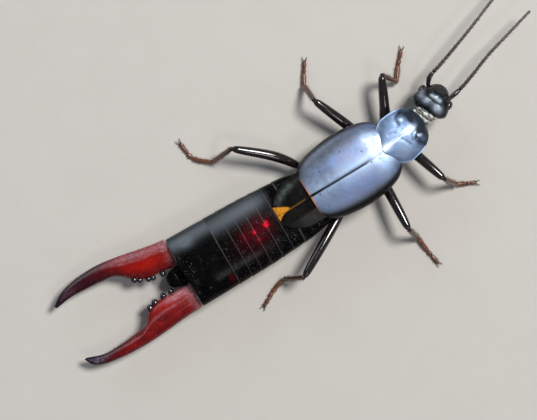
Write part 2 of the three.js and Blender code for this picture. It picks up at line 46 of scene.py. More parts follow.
# Named sizes in millimetres, in the body's own frame: X = 0 is the middle line of the abdomen
ORIGIN = np.array([-0.018, -3.748, 0.0])
ABDOMEN = {
    "front": -4.2,
    "rings": [-1.2, -0.15, 0.87, 1.9, 2.8, 3.7, 4.84],
    "end": 8.15,
    "overlap": 0.22,
    "half_width": [(-4.3, 2.2), (-3, 2.5), (-2, 2.66), (-0.4, 2.76), (1.4, 2.87), (3, 2.92), (8.15, 2.98)],
    "top": [(-4.3, 2.9), (-3, 3.08), (-1.2, 3.18), (-0.4, 3.23), (0.6, 3.28), (3, 3.36), (8.15, 3.38)],
    "bottom": [(-4.3, 0.85), (-3, 0.62), (0, 0.46), (4, 0.42), (8.15, 0.55)],
    "middle_height": 1.9,
    "squareness": 2.5,
    "plate": 0.07,
}
WINGS = {
    "at": (0.35, -3.17, 0.0),
    "turn": math.radians(2.3),
    "length": 7.5,
    "half_width": [
        (-7.5, 2.0), (-7.3, 2.2), (-6.7, 2.62), (-6, 2.86), (-5, 3.04), (-3.9, 3.1),
        (-2.9, 3.04), (-1.9, 2.9), (-1.2, 2.72), (-0.6, 2.44), (-0.2, 2.06), (0, 1.78),
    ],
    "top": [(-7.5, 3.8), (-5.5, 4.06), (-3, 4.1), (0, 3.85)],
    "depth": 1.3,
    "wrap": math.radians(118),
    "squareness": 2.7,
    "plate": 0.09,
    "suture": [(-7.5, -0.16), (-5.4, -0.15), (-2.5, -0.07), (0, 0)],
    "suture_gap": [(-7.5, 0.003), (-5.4, 0.005), (-4, 0.014), (-1.2, 0.032), (0, 0.07)],
}
TIP = {
    "front": -0.9,
    "length": 2.9,
    "outer": [
        (-1, 2.1), (0, 2.1), (0.9, 2.04), (1.5, 1.88),
        (2, 1.62), (2.4, 1.36), (2.7, 1.06), (2.9, 0.78),
    ],
    "top": [(-1, 3.6), (0, 3.58), (1.4, 3.54), (2.9, 3.4)],
    "seam": 0.012,
    "plate": 0.08,
    "corner": {
        "l": [(1.6, 0.05), (2.1, 0.38), (2.83, 0.78)],
        "r": [(1.9, 0.0), (2.25, 0.06), (2.5, 0.14), (2.89, 0.42)],
    },
}
SHIELD = {
    "at": (0.84, -11.84, 0.0),
    "turn": math.radians(9.5),
    "front": -2.12,
    "rear": 2.0,
    "half_width": [
        (-2.12, 0.5), (-1.95, 0.92), (-1.55, 1.5), (-0.9, 1.86), (-0.1, 2.02),
        (0.5, 2.05), (1, 1.9), (1.4, 1.6), (1.78, 1.04), (2, 0.45),
    ],
    "top": [(-2.12, 3.02), (-1.9, 3.24), (-1.5, 3.47), (-0.8, 3.71), (0.3, 3.87), (2, 3.96)],
    "plate": 0.14,
}
THORAX = {
    "half_width": [
        (-13.2, 0.95), (-12.2, 1.35), (-10.6, 1.55), (-9, 1.95), (-6, 2.1), (-5.4, 2.1), (-3.3, 2.3),
    ],
    "top": [(-13.2, 2.7), (-12, 3.0), (-10, 3.05), (-6, 3.2), (-3.3, 2.95)],
    "bottom": [(-13.2, 1.5), (-12, 1.05), (-9, 0.82), (-6, 0.72), (-3.3, 0.72)],
    "centre": [(-13.2, 1.18), (-10, 0.62), (-6, 0.46), (-5.4, 0.4333), (-3.3, 0.12)],
    "lengths": {"prothorax": (-12.95, -10.0), "mesothorax": (-10.0, -6.8), "metathorax": (-6.8, -3.0)},
    "squareness": 2.6,
}
NECK = {"start": (1.12, -12.6, 2.12), "stop": (1.34, -14.6, 2.58), "half_width": 0.76, "half_height": 0.49}
HEAD = {
    "at": (1.9, -15.53, 2.3),
    "turn": math.radians(27.5),
    "pitch": math.radians(18),
    "roll": math.radians(13),
    "front": -1.36,
    "back": 1.22,
    "half_width": [
        (-1.36, 0.4), (-1.2, 0.64), (-0.9, 0.88), (-0.6, 1.1), (-0.2, 1.36),
        (0.3, 1.5), (0.65, 1.54), (0.92, 1.34), (1.1, 1.02), (1.22, 0.62),
    ],
    "half_height": [(-1.36, 0.3), (-0.9, 0.56), (-0.2, 0.8), (0.6, 0.86), (1.22, 0.5)],
}
EYE = {"at": (1.24, -0.22, 0.1), "radii": (0.28, 0.41, 0.35)}
FEELER = {
    "root": (0.92, -0.62, 0.12),
    "l": [
        (3.62, -16.15, 2.3), (4.05, -17.3, 2.5), (4.75, -19.2, 2.7),
        (5.5, -21.2, 2.65), (6.25, -23.1, 2.4), (6.9, -24.9, 2.1),
    ],
    "r": [
        (1.6, -17.76, 2.35), (2.02, -18.95, 2.55), (2.8, -20.9, 2.7),
        (3.33, -22.7, 2.6), (3.8, -24.4, 2.4), (4.15, -25.7, 2.15),
    ],
    "radius": [(0, 0.2), (0.1, 0.19), (0.16, 0.16), (0.3, 0.145), (1, 0.10)],
}
KNEE_HEIGHT = 2.6
ANKLE_HEIGHT = 0.36
FOOT_HEIGHT = 0.175
LEGS = {
    "front_l": {
        "root": (1.3, -11.05, 1.35), "knee": (5.66, -12.9), "ankle": (4.48, -14),
        "foot": [(5.5, -14.75), (6.5, -15.6)], "thigh": 0.47,
    },
    "front_r": {
        "root": (0.6, -11.7, 1.35), "knee": (-3.85, -13.15), "ankle": (-4.95, -14.15),
        "foot": [(-5.28, -14.85), (-5.62, -15.55)], "thigh": 0.44,
    },
    "mid_l": {
        "root": (1.5, -9.65, 1.2), "knee": (6.6, -7.32), "ankle": (7.9, -7.45),
        "foot": [(8.6, -7.85), (9.55, -8.45)], "thigh": 0.40,
    },
    "mid_r": {
        "root": (-0.5, -9.05, 1.2), "knee": (-5.9, -8.75), "ankle": (-7.1, -9.35),
        "foot": [(-8.3, -9.5), (-9.6, -9.75)], "thigh": 0.42,
    },
    "hind_l": {
        "root": (1.5, -4.7, 1.15), "knee": (6.57, 0.15), "ankle": (6.3, 1.82),
        "foot": [(7.35, 3), (8.85, 3.3)], "thigh": 0.33, "bow": (0.1, -0.42),
    },
    "hind_r": {
        "root": (-1.15, -6.6, 1.15), "knee": (-4.97, 0.27), "ankle": (-4.5, 1.6),
        "foot": [(-4.85, 2.6), (-5.6, 3.95)], "thigh": 0.38,
    },
}
PINCERS = {
    "l": {
        "outer": [
            (3.04, 8.25), (3.27, 9.7), (3.52, 11), (3.76, 12.3), (3.92, 13.6),
            (3.91, 14.9), (3.77, 16.1), (3.4, 17.3), (2.78, 18.2),
        ],
        "inner": [
            (0.72, 8.25), (0.98, 9.6), (1.02, 10.7), (1.45, 11.7), (2.4, 12.9),
            (2.62, 14.1), (2.72, 15.4), (2.76, 16.7), (2.58, 18.06),
        ],
        "keel": 0.42,
    },
    "r": {
        "outer": [
            (-2.98, 8.25), (-3.1, 9.9), (-3.24, 11.3), (-3.36, 12.8), (-3.38, 14.2),
            (-3.3, 15.6), (-3.08, 17), (-2.66, 17.86), (-1.96, 18.24),
        ],
        "inner": [
            (-0.86, 8.25), (-0.86, 9.6), (-0.84, 10.7), (-1.12, 11.9), (-1.98, 12.8),
            (-2.26, 14.1), (-2.38, 15.4), (-2.36, 16.7), (-1.92, 18.04),
        ],
        "keel": -0.22,
    },
    "half_height": [(0, 0.72), (0.2, 0.7), (0.4, 0.6), (0.6, 0.47), (0.85, 0.3), (1, 0.1)],
    "middle": [(0, 1.78), (0.4, 1.5), (0.75, 1.25), (1, 1.3)],
}

# Each tooth: its share of the pincer's length, its radius, and how far out it stands in radii
TEETH = {
    "l": [
        (0.128, 0.23, 0.85), (0.222, 0.23, 0.3), (0.265, 0.21, 0.3), (0.345, 0.21, 0.25), (0.388, 0.24, 0.25),
    ],
    "r": [(0.147, 0.22, 0.7), (0.227, 0.24, 0.3), (0.312, 0.26, 0.2), (0.368, 0.27, 0.2)],
}
TOOTH_WIDTH = 1.12
TOOTH_UP = 0.08

# Small folds at the sides of the front rings, and small raised points near the last ring's rear edge
FOLDS = [(2.5, -0.27), (2.3, -0.65), (2.43, 0.91), (2.45, 2.0)]
POINTS = [(0.46, 7.4), (0.28, 7.62), (-0.41, 7.76), (-0.22, 7.55), (0.1, 7.7), (0.75, 7.66), (-0.8, 7.5)]


# A smooth value at each place, from a few stops that it never overshoots
def smooth(place, stops):
    xs, ys = np.array(stops, float).T
    slopes = np.diff(ys) / np.diff(xs)
    before, after = slopes[:-1], slopes[1:]
    total = np.where(before + after == 0, 1, before + after)
    inner = np.where(before * after <= 0, 0, 2 * before * after / total)
    tangents = np.concatenate([slopes[:1], inner, slopes[-1:]])
    place = np.clip(np.asarray(place, float), xs[0], xs[-1])
    i = np.clip(np.searchsorted(xs, place, side="right") - 1, 0, len(xs) - 2)
    span = xs[i + 1] - xs[i]
    rise = ys[i + 1] - ys[i]
    t = (place - xs[i]) / span
    near = tangents[i] * span - rise
    far = rise - tangents[i + 1] * span
    return ys[i] + rise * t + t * (1 - t) * (near * (1 - t) + far * t)


def along(rows):
    return np.linspace(0, 1, rows)[:, None]


def around(sides):
    return np.linspace(0, TURN, sides, endpoint=False)[None]


def unit(value):
    return np.clip(value, 0, 1)


def bump(*offsets):
    return np.exp(-sum(np.square(o) for o in offsets))


def spot(x, y, centre, widths):
    return bump((x - centre[0]) / widths[0], (y - centre[1]) / widths[1])


def step(value, low, high):
    t = unit((value - low) / (high - low))
    return t * t * (3 - 2 * t)


def power(base, exponent):
    return np.sign(base) * np.abs(base) ** exponent


def oval(angle, half_width, half_height, squareness=2.0):
    p = 2 / squareness
    return half_width * power(np.sin(angle), p), half_height * power(np.cos(angle), p)


def eased(share, front, rear):
    return front + (rear - front) * (1 - np.cos(share * math.pi)) / 2


# How near each place is to a line through a few points: 1 on it, falling to the sides
def stroke(x, y, points, width):
    closest = np.full(np.broadcast(x, y).shape, np.inf)
    for (ax, ay), (bx, by) in zip(points[:-1], points[1:]):
        dx, dy = bx - ax, by - ay
        t = unit(((x - ax) * dx + (y - ay) * dy) / (dx * dx + dy * dy))
        closest = np.minimum(closest, np.hypot(x - ax - t * dx, y - ay - t * dy))
    return np.exp(-(closest / width) ** 2)


def strokes(x, y, *rows):
    return sum(weight * stroke(x, y, points, width) for weight, points, width in rows)


def grid_of(*parts):
    return np.stack(np.broadcast_arrays(*parts), -1)


def unit_vector(vectors):
    return vectors / np.maximum(np.linalg.norm(vectors, axis=-1, keepdims=True), 1e-12)


# A frame of its own for a part that is turned on the body
def turn_matrix(turn=0.0, roll=0.0, pitch=0.0):
    m = Matrix.Rotation(turn, 3, "Z") @ Matrix.Rotation(roll, 3, "Y") @ Matrix.Rotation(pitch, 3, "X")
    return np.array(m)


HEAD_TURN = turn_matrix(HEAD["turn"], HEAD["roll"], HEAD["pitch"])


def on_head(points):
    return np.asarray(points, float) @ HEAD_TURN.T + np.array(HEAD["at"])


def on_wings(points):
    return points @ turn_matrix(WINGS["turn"]).T + np.array(WINGS["at"])


def on_shield(points):
    return points @ turn_matrix(SHIELD["turn"]).T + np.array(SHIELD["at"])


# A mesh object, from its points in the body's frame and the corners of its faces
def new_piece(name, points, corners, counts):
    mesh = bpy.data.meshes.new(name)
    mesh.vertices.add(len(points))
    mesh.vertices.foreach_set("co", ((points - ORIGIN) * MM).astype(np.float32).reshape(-1))
    mesh.loops.add(len(corners))
    mesh.loops.foreach_set("vertex_index", corners.astype(np.int32))
    mesh.polygons.add(len(counts))
    mesh.polygons.foreach_set("loop_start", (np.cumsum(counts) - counts).astype(np.int32))
    mesh.update(calc_edges=True)
    mesh.validate()
    mesh.shade_smooth()
    piece = bpy.data.objects.new(name, mesh)
    bpy.context.scene.collection.objects.link(piece)
    return piece


# Closed surfaces gathered into one mesh, with values painted on their points
class Shape:
    SHARP = math.radians(55)

    def __init__(self):
        self.points = []
        self.quads = []
        self.tris = []
        self.marks = []
        self.count = 0

    # Faces are turned to look outwards, which the sign of the enclosed volume tells
    def _store(self, points, quads, tris, marks):
        fans = np.concatenate([quads[:, :3], quads[:, [0, 2, 3]], tris])
        a, b, c = (points[fans[:, k]] for k in range(3))
        if np.einsum("ij,ij->", a, np.cross(b, c)) < 0:
            quads, tris = quads[:, ::-1], tris[:, ::-1]
        self.points.append(points)
        self.quads.append(quads + self.count)
        self.tris.append(tris + self.count)
        self.marks.append(marks)
        self.count += len(points)

    # A tube of rings, closed at both ends by a fan to its middle
    def tube(self, grid, **marks):
        rows, sides = grid.shape[:2]
        points = np.concatenate([grid.reshape(-1, 3), [grid[0].mean(0), grid[-1].mean(0)]])
        row = np.arange(rows - 1)[:, None] * sides
        s = np.arange(sides)
        n = (s + 1) % sides
        quads = np.stack([row + s, row + n, row + sides + n, row + sides + s], -1).reshape(-1, 4)
        base = (rows - 1) * sides
        middle = np.full(sides, rows * sides)
        tris = np.concatenate([np.stack([n, s, middle], -1), np.stack([base + s, base + n, middle + 1], -1)])
        full = {}
        for name, value in marks.items():
            value = np.broadcast_to(value, (rows, sides))
            full[name] = np.concatenate([value.reshape(-1), [value[0].mean(), value[-1].mean()]])
        self._store(points, quads, tris, full)

    # A sheet with a thickness, which lies towards the inside point
    def sheet(self, grid, depth, inside, **marks):
        rows, cols = grid.shape[:2]
        normal = unit_vector(np.cross(np.gradient(grid, axis=0), np.gradient(grid, axis=1)))
        if np.einsum("ijk,ijk->", normal, grid - np.asarray(inside, float)) < 0:
            normal = -normal
        points = np.concatenate([grid.reshape(-1, 3), (grid - normal * depth).reshape(-1, 3)])
        size = rows * cols
        row = np.arange(rows - 1)[:, None] * cols
        s = np.arange(cols - 1)
        top = np.stack([row + s, row + s + 1, row + cols + s + 1, row + cols + s], -1).reshape(-1, 4)
        edge = np.concatenate([
            np.arange(cols),
            np.arange(1, rows) * cols + cols - 1,
            (rows - 1) * cols + np.arange(cols - 2, -1, -1),
            np.arange(rows - 2, 0, -1) * cols,
        ])
        ahead = np.roll(edge, -1)
        border = np.stack([ahead, edge, edge + size, ahead + size], -1)
        quads = np.concatenate([top, top[:, ::-1] + size, border])
        full = {}
        for name, value in marks.items():
            value = np.broadcast_to(value, (rows, cols)).reshape(-1)
            full[name] = np.concatenate([value, value])
        self._store(points, quads, np.zeros((0, 3), int), full)

    def ball(self, centre, radii, rows, sides, matrix=np.eye(3)):
        polar = np.linspace(0.0, math.pi, rows + 1)[1:-1, None]
        turn = around(sides)
        grid = grid_of(np.sin(polar) * np.cos(turn), np.sin(polar) * np.sin(turn), np.cos(polar))
        self.tube((grid * np.array(radii)) @ matrix.T + np.array(centre))

    def made(self, name):
        quads = np.concatenate(self.quads)
        tris = np.concatenate(self.tris)
        corners = np.concatenate([quads.reshape(-1), tris.reshape(-1)])
        counts = np.repeat([4, 3], [len(quads), len(tris)])
        piece = new_piece(name, np.concatenate(self.points), corners, counts)
        for key in sorted({key for marks in self.marks for key in marks}):
            values = [m.get(key, np.zeros(len(p))) for m, p in zip(self.marks, self.points)]
            layer = piece.data.attributes.new(key, "FLOAT", "POINT")
            layer.data.foreach_set("value", np.concatenate(values).astype(np.float32))
        piece.data.set_sharp_from_angle(angle=self.SHARP)
        return piece


# Fine tapered hairs gathered into one mesh, with a small patch on the skin's unwrap for each
class Hairs:
    THICK = 0.011
    TAPER = (1.0, 0.7, 0.15)
    STRAY = 0.18
    SUNK = 0.02
    PATCH = 0.0014
    MARGIN = 0.994

    def __init__(self):
        self.rings = []
        self.places = []

    # Hairs on a grid of skin points, leaning from straight out towards the grid's last row
    def grow(self, grid, count, length, lean=1.0, centre=None, band=(0.0, 1.0), rows=(0.03, 0.97)):
        last_row, last_col = grid.shape[0] - 1, grid.shape[1] - 1
        share = rng.uniform(*rows, count)
        turn = rng.uniform(0, 1, count)
        i = np.clip((share * last_row).astype(int), 0, last_row - 1)
        j = (turn * last_col).astype(int)
        root = grid[i, j]
        middle = grid.mean(1)[i] if centre is None else np.asarray(centre, float)
        out = unit_vector(root - middle)
        ahead = unit_vector(grid[i + 1, j] - root)
        way = unit_vector(out + ahead * lean + rng.normal(0, self.STRAY, (count, 3)))
        size = (length * rng.uniform(0.6, 1.15, count))[:, None]
        side = unit_vector(np.cross(way, out + 0.3))
        other = np.cross(way, side)
        spots = [root - out * self.SUNK, root + (way * 0.55 + out * 0.08) * size, root + way * size]
        rings = []
        for place, wide in zip(spots, self.TAPER):
            for angle in (0, TURN / 3, 2 * TURN / 3):
                rings.append(place + (side * math.cos(angle) + other * math.sin(angle)) * self.THICK * wide)
        self.rings.append(np.stack(rings, 1))
        low, high = band
        self.places.append(np.stack([turn * self.MARGIN, low + (high - low) * share * self.MARGIN], -1))

    def made(self, name):
        points = np.concatenate(self.rings)
        points[..., 2] = np.maximum(points[..., 2], FLOOR_CLEAR)
        corners = []
        for ring in (0, 3):
            for k in range(3):
                n = (k + 1) % 3
                corners += [(ring + k, ring + n, ring + 3 + n), (ring + k, ring + 3 + n, ring + 3 + k)]
        corners += [(2, 1, 0), (6, 7, 8)]
        faces = (np.arange(len(points))[:, None, None] * 9 + np.array(corners)).reshape(-1)
        piece = new_piece(name, points.reshape(-1, 3), faces, np.full(len(faces) // 3, 3))
        patch = np.array([(k, ring) for ring in range(3) for k in range(3)]) * self.PATCH
        places = (np.concatenate(self.places)[:, None] + patch).reshape(-1, 2)
        layer = piece.data.uv_layers.new(name="OFBake")
        layer.data.foreach_set("uv", places[faces].astype(np.float32).reshape(-1))
        return piece


def finish_piece(shape, name, look, slot, *nodes):
    piece = shape.made(name)
    piece.data.materials.append(LOOKS[look])
    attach(piece, "root")
    if nodes:
        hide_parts(*nodes)


# A material's nodes, with short calls for those that it uses; lengths are in millimetres
class Look:
    def __init__(self, name, roughness=0.3, metallic=0.0, specular=0.5, coat=0.0, coat_roughness=0.1):
        self.material = bpy.data.materials.new(name)
        self.material.use_nodes = True
        self.nodes = self.material.node_tree.nodes
        self.links = self.material.node_tree.links
        self.nodes.clear()
        output = self.nodes.new("ShaderNodeOutputMaterial")
        self.shader = self.nodes.new("ShaderNodeBsdfPrincipled")
        self.links.new(self.shader.outputs["BSDF"], output.inputs["Surface"])
        settings = {
            "Roughness": roughness, "Metallic": metallic, "Specular IOR Level": specular,
            "Coat Weight": coat, "Coat Roughness": coat_roughness,
        }
        for socket, value in settings.items():
            self.shader.inputs[socket].default_value = value
        coords = self.nodes.new("ShaderNodeTexCoord")
        scale = self.nodes.new("ShaderNodeVectorMath")
        scale.operation = "SCALE"
        scale.inputs["Scale"].default_value = 1 / MM
        self.links.new(coords.outputs["Object"], scale.inputs[0])
        self.place = scale.outputs[0]

    def _set(self, socket, value):
        if isinstance(value, bpy.types.NodeSocket):
            self.links.new(value, socket)
        else:
            socket.default_value = value

    def _node(self, kind, **inputs):
        node = self.nodes.new(kind)
        for name, value in inputs.items():
            self._set(node.inputs[name.replace("_", " ")], value)
        return node

    def _stretched(self, stretch):
        if stretch is None:
            return self.place
        node = self.nodes.new("ShaderNodeVectorMath")
        node.operation = "MULTIPLY"
        node.inputs[1].default_value = stretch
        self.links.new(self.place, node.inputs[0])
        return node.outputs[0]

    def noise(self, size, detail=3.0, roughness=0.55, stretch=None):
        node = self._node("ShaderNodeTexNoise", Scale=1 / size, Detail=detail, Roughness=roughness,
                          Vector=self._stretched(stretch))
        return node.outputs["Fac"]

    def cells(self, size, randomness=1.0, stretch=None):
        node = self._node("ShaderNodeTexVoronoi", Scale=1 / size, Randomness=randomness,
                          Vector=self._stretched(stretch))
        return node.outputs["Distance"]

    def mark(self, name):
        node = self.nodes.new("ShaderNodeAttribute")
        node.attribute_name = name
        return node.outputs["Fac"]

    def math(self, operation, a, b):
        node = self.nodes.new("ShaderNodeMath")
        node.operation = operation
        self._set(node.inputs[0], a)
        self._set(node.inputs[1], b)
        return node.outputs[0]

    def times(self, a, b):
        return self.math("MULTIPLY", a, b)

    def range(self, value, low, high, to_low=0.0, to_high=1.0):
        node = self._node("ShaderNodeMapRange", Value=value)
        node.interpolation_type = "SMOOTHSTEP"
        for name, limit in (("From Min", low), ("From Max", high), ("To Min", to_low), ("To Max", to_high)):
            node.inputs[name].default_value = limit
        return node.outputs["Result"]

    # Soft patches of a size, from the noise's values between low and high
    def patches(self, size, detail, low=0.3, high=0.7, to_low=0.0, to_high=1.0):
        return self.range(self.noise(size, detail), low, high, to_low, to_high)

    # Small round dots, where the second value lets them show
    def dots(self, size, low, high, where, stretch=None):
        return self.times(self.range(self.cells(size, stretch=stretch), low, high, 1.0, 0.0), where)

    def mix(self, share, a, b):
        node = self.nodes.new("ShaderNodeMix")
        node.data_type = "RGBA"
        self._set(node.inputs["Factor"], share)
        for socket, value in ((node.inputs[6], a), (node.inputs[7], b)):
            self._set(socket, value if isinstance(value, bpy.types.NodeSocket) else (*value, 1.0))
        return node.outputs[2]

    def colour(self, value):
        self.links.new(value, self.shader.inputs["Base Color"])

    def rough(self, value):
        self.links.new(value, self.shader.inputs["Roughness"])

    def raise_by(self, height, depth):
        node = self._node("ShaderNodeBump", Strength=1.0, Distance=depth * MM, Height=height)
        normal = self.shader.inputs["Normal"]
        if normal.is_linked:
            self.links.new(normal.links[0].from_socket, node.inputs["Normal"])
        self.links.new(node.outputs["Normal"], normal)


# Glossy black shell, with painted blue-white highlights on the head's lobes
def shell_look():
    look = Look("black_shell", roughness=0.2, specular=0.4, coat=0.1)
    base = look.mix(look.patches(0.55, 2, 0.42, 0.62), (0.004, 0.004, 0.005), (0.016, 0.018, 0.024))
    # Painted highlight: blue-white patches where the head's lobes catch the light
    bloom = look.times(look.mark("bloom"), look.patches(0.3, 3, 0.3, 0.65, 0.62, 1.0))
    base = look.mix(bloom, base, (0.52, 0.62, 0.74))
    look.colour(look.mix(look.mark("dark"), base, (0.004, 0.004, 0.005)))
    look.rough(look.patches(0.4, 3, to_low=0.18, to_high=0.3))
    look.raise_by(look.noise(0.10, 3), 0.003)
    look.raise_by(look.range(look.cells(0.22), 0.04, 0.14), 0.008)
    return look.material


# Satin blue-violet sheen with a fine grain; painted highlights in front and near the seam, and painted shade:
# greyer at the sides, black at the outer edges and in the seam
def wing_look():
    look = Look("wing_cover", metallic=0.6, roughness=0.4, specular=0.5)
    grain_lie = (0.7, 1.6, 1.0)
    body = look.mix(look.patches(1.5, 2, 0.35, 0.6), (0.092, 0.140, 0.290), (0.118, 0.140, 0.265))
    body = look.mix(look.patches(0.9, 3, 0.5, 0.68), body, (0.095, 0.180, 0.37))
    # Painted shade: greyer and darker where the cover turns to the side
    body = look.mix(look.mark("side"), body, (0.098, 0.104, 0.120))
    # Painted highlight: pale blue-white where the cover catches the light
    body = look.mix(look.mark("pale"), body, (0.36, 0.49, 0.66))
    grain = look.noise(0.055, 4, 0.75, stretch=grain_lie)
    body = look.mix(look.range(grain, 0.4, 0.7, 0.0, 0.65), body, (0.24, 0.29, 0.40))
    # Painted shade: black at the outer edges and in the seam
    body = look.mix(look.mark("dark"), body, (0.005, 0.004, 0.005))
    body = look.mix(look.mark("tan"), body, (0.46, 0.17, 0.03))
    pits = look.dots(0.40, 0.09, 0.15, look.patches(0.9, 2, 0.44, 0.54))
    look.colour(look.mix(pits, body, (0.010, 0.010, 0.014)))
    look.rough(look.patches(0.4, 4, to_low=0.34, to_high=0.48))
    look.raise_by(look.noise(0.08, 4, stretch=grain_lie), 0.005)
    look.raise_by(pits, -0.02)
    return look.material


# Glossy black with amber marks, and a painted grey-green sheen on the left tip's outer side
def tip_look():
    look = Look("wing_tip", roughness=0.16, specular=0.07)
    base = look.mix(look.patches(0.6, 3), (0.004, 0.004, 0.004), (0.010, 0.009, 0.008))
    # Painted sheen: grey-green reflection
    sheen = look.times(look.mark("sheen"), look.patches(0.25, 3, to_low=0.35))
    base = look.mix(sheen, base, (0.062, 0.080, 0.074))
    amber = look.mix(look.patches(0.2, 3), (0.50, 0.18, 0.010), (0.66, 0.29, 0.03))
    look.colour(look.mix(look.mark("tan"), base, amber))
    look.rough(look.patches(0.3, 3, to_low=0.16, to_high=0.26))
    look.raise_by(look.noise(0.09, 3), 0.003)
    return look.material


# Satin blue-grey sheen, with painted highlights along the middle, on the swellings and on the rear left rim,
# and painted shade: dark and glossy in front and in the impressions
def shield_look():
    look = Look("shield", metallic=0.5, roughness=0.4, specular=0.35)
    body = look.mix(look.patches(1.0, 3, 0.38, 0.62), (0.092, 0.148, 0.260), (0.135, 0.205, 0.340))
    body = look.mix(look.range(look.noise(0.06, 3, 0.7), 0.4, 0.75, 0.0, 0.45), body, (0.17, 0.22, 0.33))
    # Painted highlight where the shield catches the light
    body = look.mix(look.mark("pale"), body, (0.50, 0.58, 0.70))
    # Painted shade: dark in front and in the impressions
    body = look.mix(look.mark("dark"), body, (0.030, 0.040, 0.054))
    body = look.mix(look.mark("rim"), body, (0.12, 0.15, 0.20))
    pits = look.dots(0.34, 0.05, 0.11, look.patches(0.8, 2, 0.52, 0.62))
    look.colour(look.mix(pits, body, (0.012, 0.013, 0.018)))
    rough = look.patches(0.35, 4, to_low=0.34, to_high=0.46)
    look.rough(look.math("SUBTRACT", rough, look.times(look.mark("dark"), 0.2)))
    look.raise_by(look.noise(0.12, 3), 0.006)
    look.raise_by(pits, -0.015)
    return look.material


# Deep black rings; a painted glow of light shining dark red through the middle ones, a painted sheen on the
# left flank and pale specks painted as glints
def belly_look():
    look = Look("belly", roughness=0.2, specular=0.06)
    base = look.mix(look.patches(0.9, 3), (0.0010, 0.0010, 0.0010), (0.0030, 0.0026, 0.0028))
    # Painted sheen: a grey reflection along the left flank
    base = look.mix(look.mark("sheen"), base, (0.105, 0.122, 0.138))
    # Painted glow: light shining dark red through the middle rings, brightest at its centre
    glow = look.times(look.mark("glow"), look.patches(0.2, 3, 0.2, 0.7, 0.5, 1.0))
    base = look.mix(look.range(glow, 0.0, 0.5), base, (0.070, 0.001, 0.005))
    base = look.mix(look.range(glow, 0.4, 1.0), base, (0.80, 0.002, 0.022))
    base = look.mix(look.mark("brown"), base, (0.05, 0.020, 0.014))
    blotch = look.range(look.noise(0.13, 4, 0.7, stretch=(1.0, 0.7, 1.0)), 0.52, 0.66)
    blotch = look.times(blotch, look.patches(0.7, 2, 0.4, 0.6))
    base = look.mix(look.times(blotch, look.mark("rough")), base, (0.024, 0.025, 0.031))
    # Pale specks on the pits, painted as glints
    specks = look.dots(0.15, 0.10, 0.17, look.patches(0.5, 3, 0.44, 0.56), stretch=(1.0, 0.8, 1.0))
    specks = look.times(specks, look.mark("pits"))
    base = look.mix(look.times(specks, 0.5), base, (0.34, 0.33, 0.38))
    look.colour(look.mix(look.mark("edge"), base, (0.16, 0.145, 0.155)))
    look.rough(look.patches(0.3, 4, to_low=0.16, to_high=0.26))
    look.raise_by(look.noise(0.14, 3), 0.004)
    look.raise_by(specks, -0.012)
    return look.material


# Glossy deep red, black at the tips, pink at the root, with painted pale highlight streaks and painted glints
# near the tips
def pincer_look():
    look = Look("pincer", roughness=0.2, specular=0.28, coat=0.08)
    red = look.mix(look.patches(1.1, 2, 0.35, 0.65), (0.105, 0.002, 0.003), (0.185, 0.003, 0.003))
    red = look.mix(look.mark("bright"), red, (0.31, 0.005, 0.001))
    # Pink at the root, the skin's own colour, and painted pink-white highlight streaks along the crest and
    # the lit band
    streak = look.range(look.noise(0.16, 4, 0.65, stretch=(1.6, 0.5, 1.0)), 0.44, 0.66, 0.3, 1.0)
    red = look.mix(look.times(streak, look.mark("flush")), red, (0.45, 0.20, 0.22))
    red = look.mix(look.mark("dusk"), red, (0.022, 0.001, 0.005))
    red = look.mix(look.mark("dark"), red, (0.005, 0.002, 0.006))
    # Painted glints near the tips
    glints = look.math("POWER", streak, 2.0)
    red = look.mix(look.times(glints, look.mark("frost")), red, (0.34, 0.35, 0.48))
    specks = look.dots(0.15, 0.08, 0.15, look.patches(0.4, 3, 0.44, 0.56))
    specks = look.times(specks, look.math("SUBTRACT", 1.0, look.times(look.mark("dark"), 0.5)))
    look.colour(look.mix(look.times(specks, 0.65), red, (0.62, 0.36, 0.42)))
    rough = look.patches(0.25, 4, to_low=0.15, to_high=0.26)
    look.rough(look.math("SUBTRACT", rough, look.times(look.mark("dark"), 0.1)))
    look.raise_by(look.noise(0.2, 3), 0.005)
    look.raise_by(specks, -0.010)
    return look.material


def tooth_look():
    look = Look("tooth", roughness=0.12, specular=0.8, coat=0.6, coat_roughness=0.05)
    look.colour(look.mix(look.patches(0.2, 3), (0.004, 0.003, 0.006), (0.012, 0.008, 0.016)))
    look.raise_by(look.noise(0.12, 2), 0.004)
    return look.material


def leg_look():
    look = Look("leg", roughness=0.16, specular=0.6, coat=0.4)
    base = look.mix(look.patches(0.7, 3), (0.004, 0.003, 0.003), (0.012, 0.007, 0.007))
    look.colour(look.mix(look.mark("brown"), base, (0.13, 0.035, 0.015)))
    look.rough(look.patches(0.2, 4, to_low=0.09, to_high=0.18))
    look.raise_by(look.noise(0.08, 3), 0.003)
    return look.material


def foot_look():
    look = Look("foot", roughness=0.3, specular=0.5, coat=0.3)
    base = look.mix(look.patches(0.3, 3), (0.10, 0.030, 0.014), (0.20, 0.065, 0.028))
    look.colour(look.mix(look.mark("dark"), base, (0.02, 0.008, 0.006)))
    look.raise_by(look.noise(0.05, 4), 0.008)
    return look.material


def feeler_look():
    look = Look("feeler", roughness=0.35, specular=0.6)
    base = look.mix(look.patches(0.4, 3), (0.030, 0.024, 0.020), (0.075, 0.060, 0.048))
    look.colour(look.mix(look.mark("dark"), base, (0.007, 0.006, 0.007)))
    look.rough(look.range(look.mark("dark"), 0.2, 0.8, 0.36, 0.15))
    look.raise_by(look.noise(0.05, 3), 0.003)
    return look.material


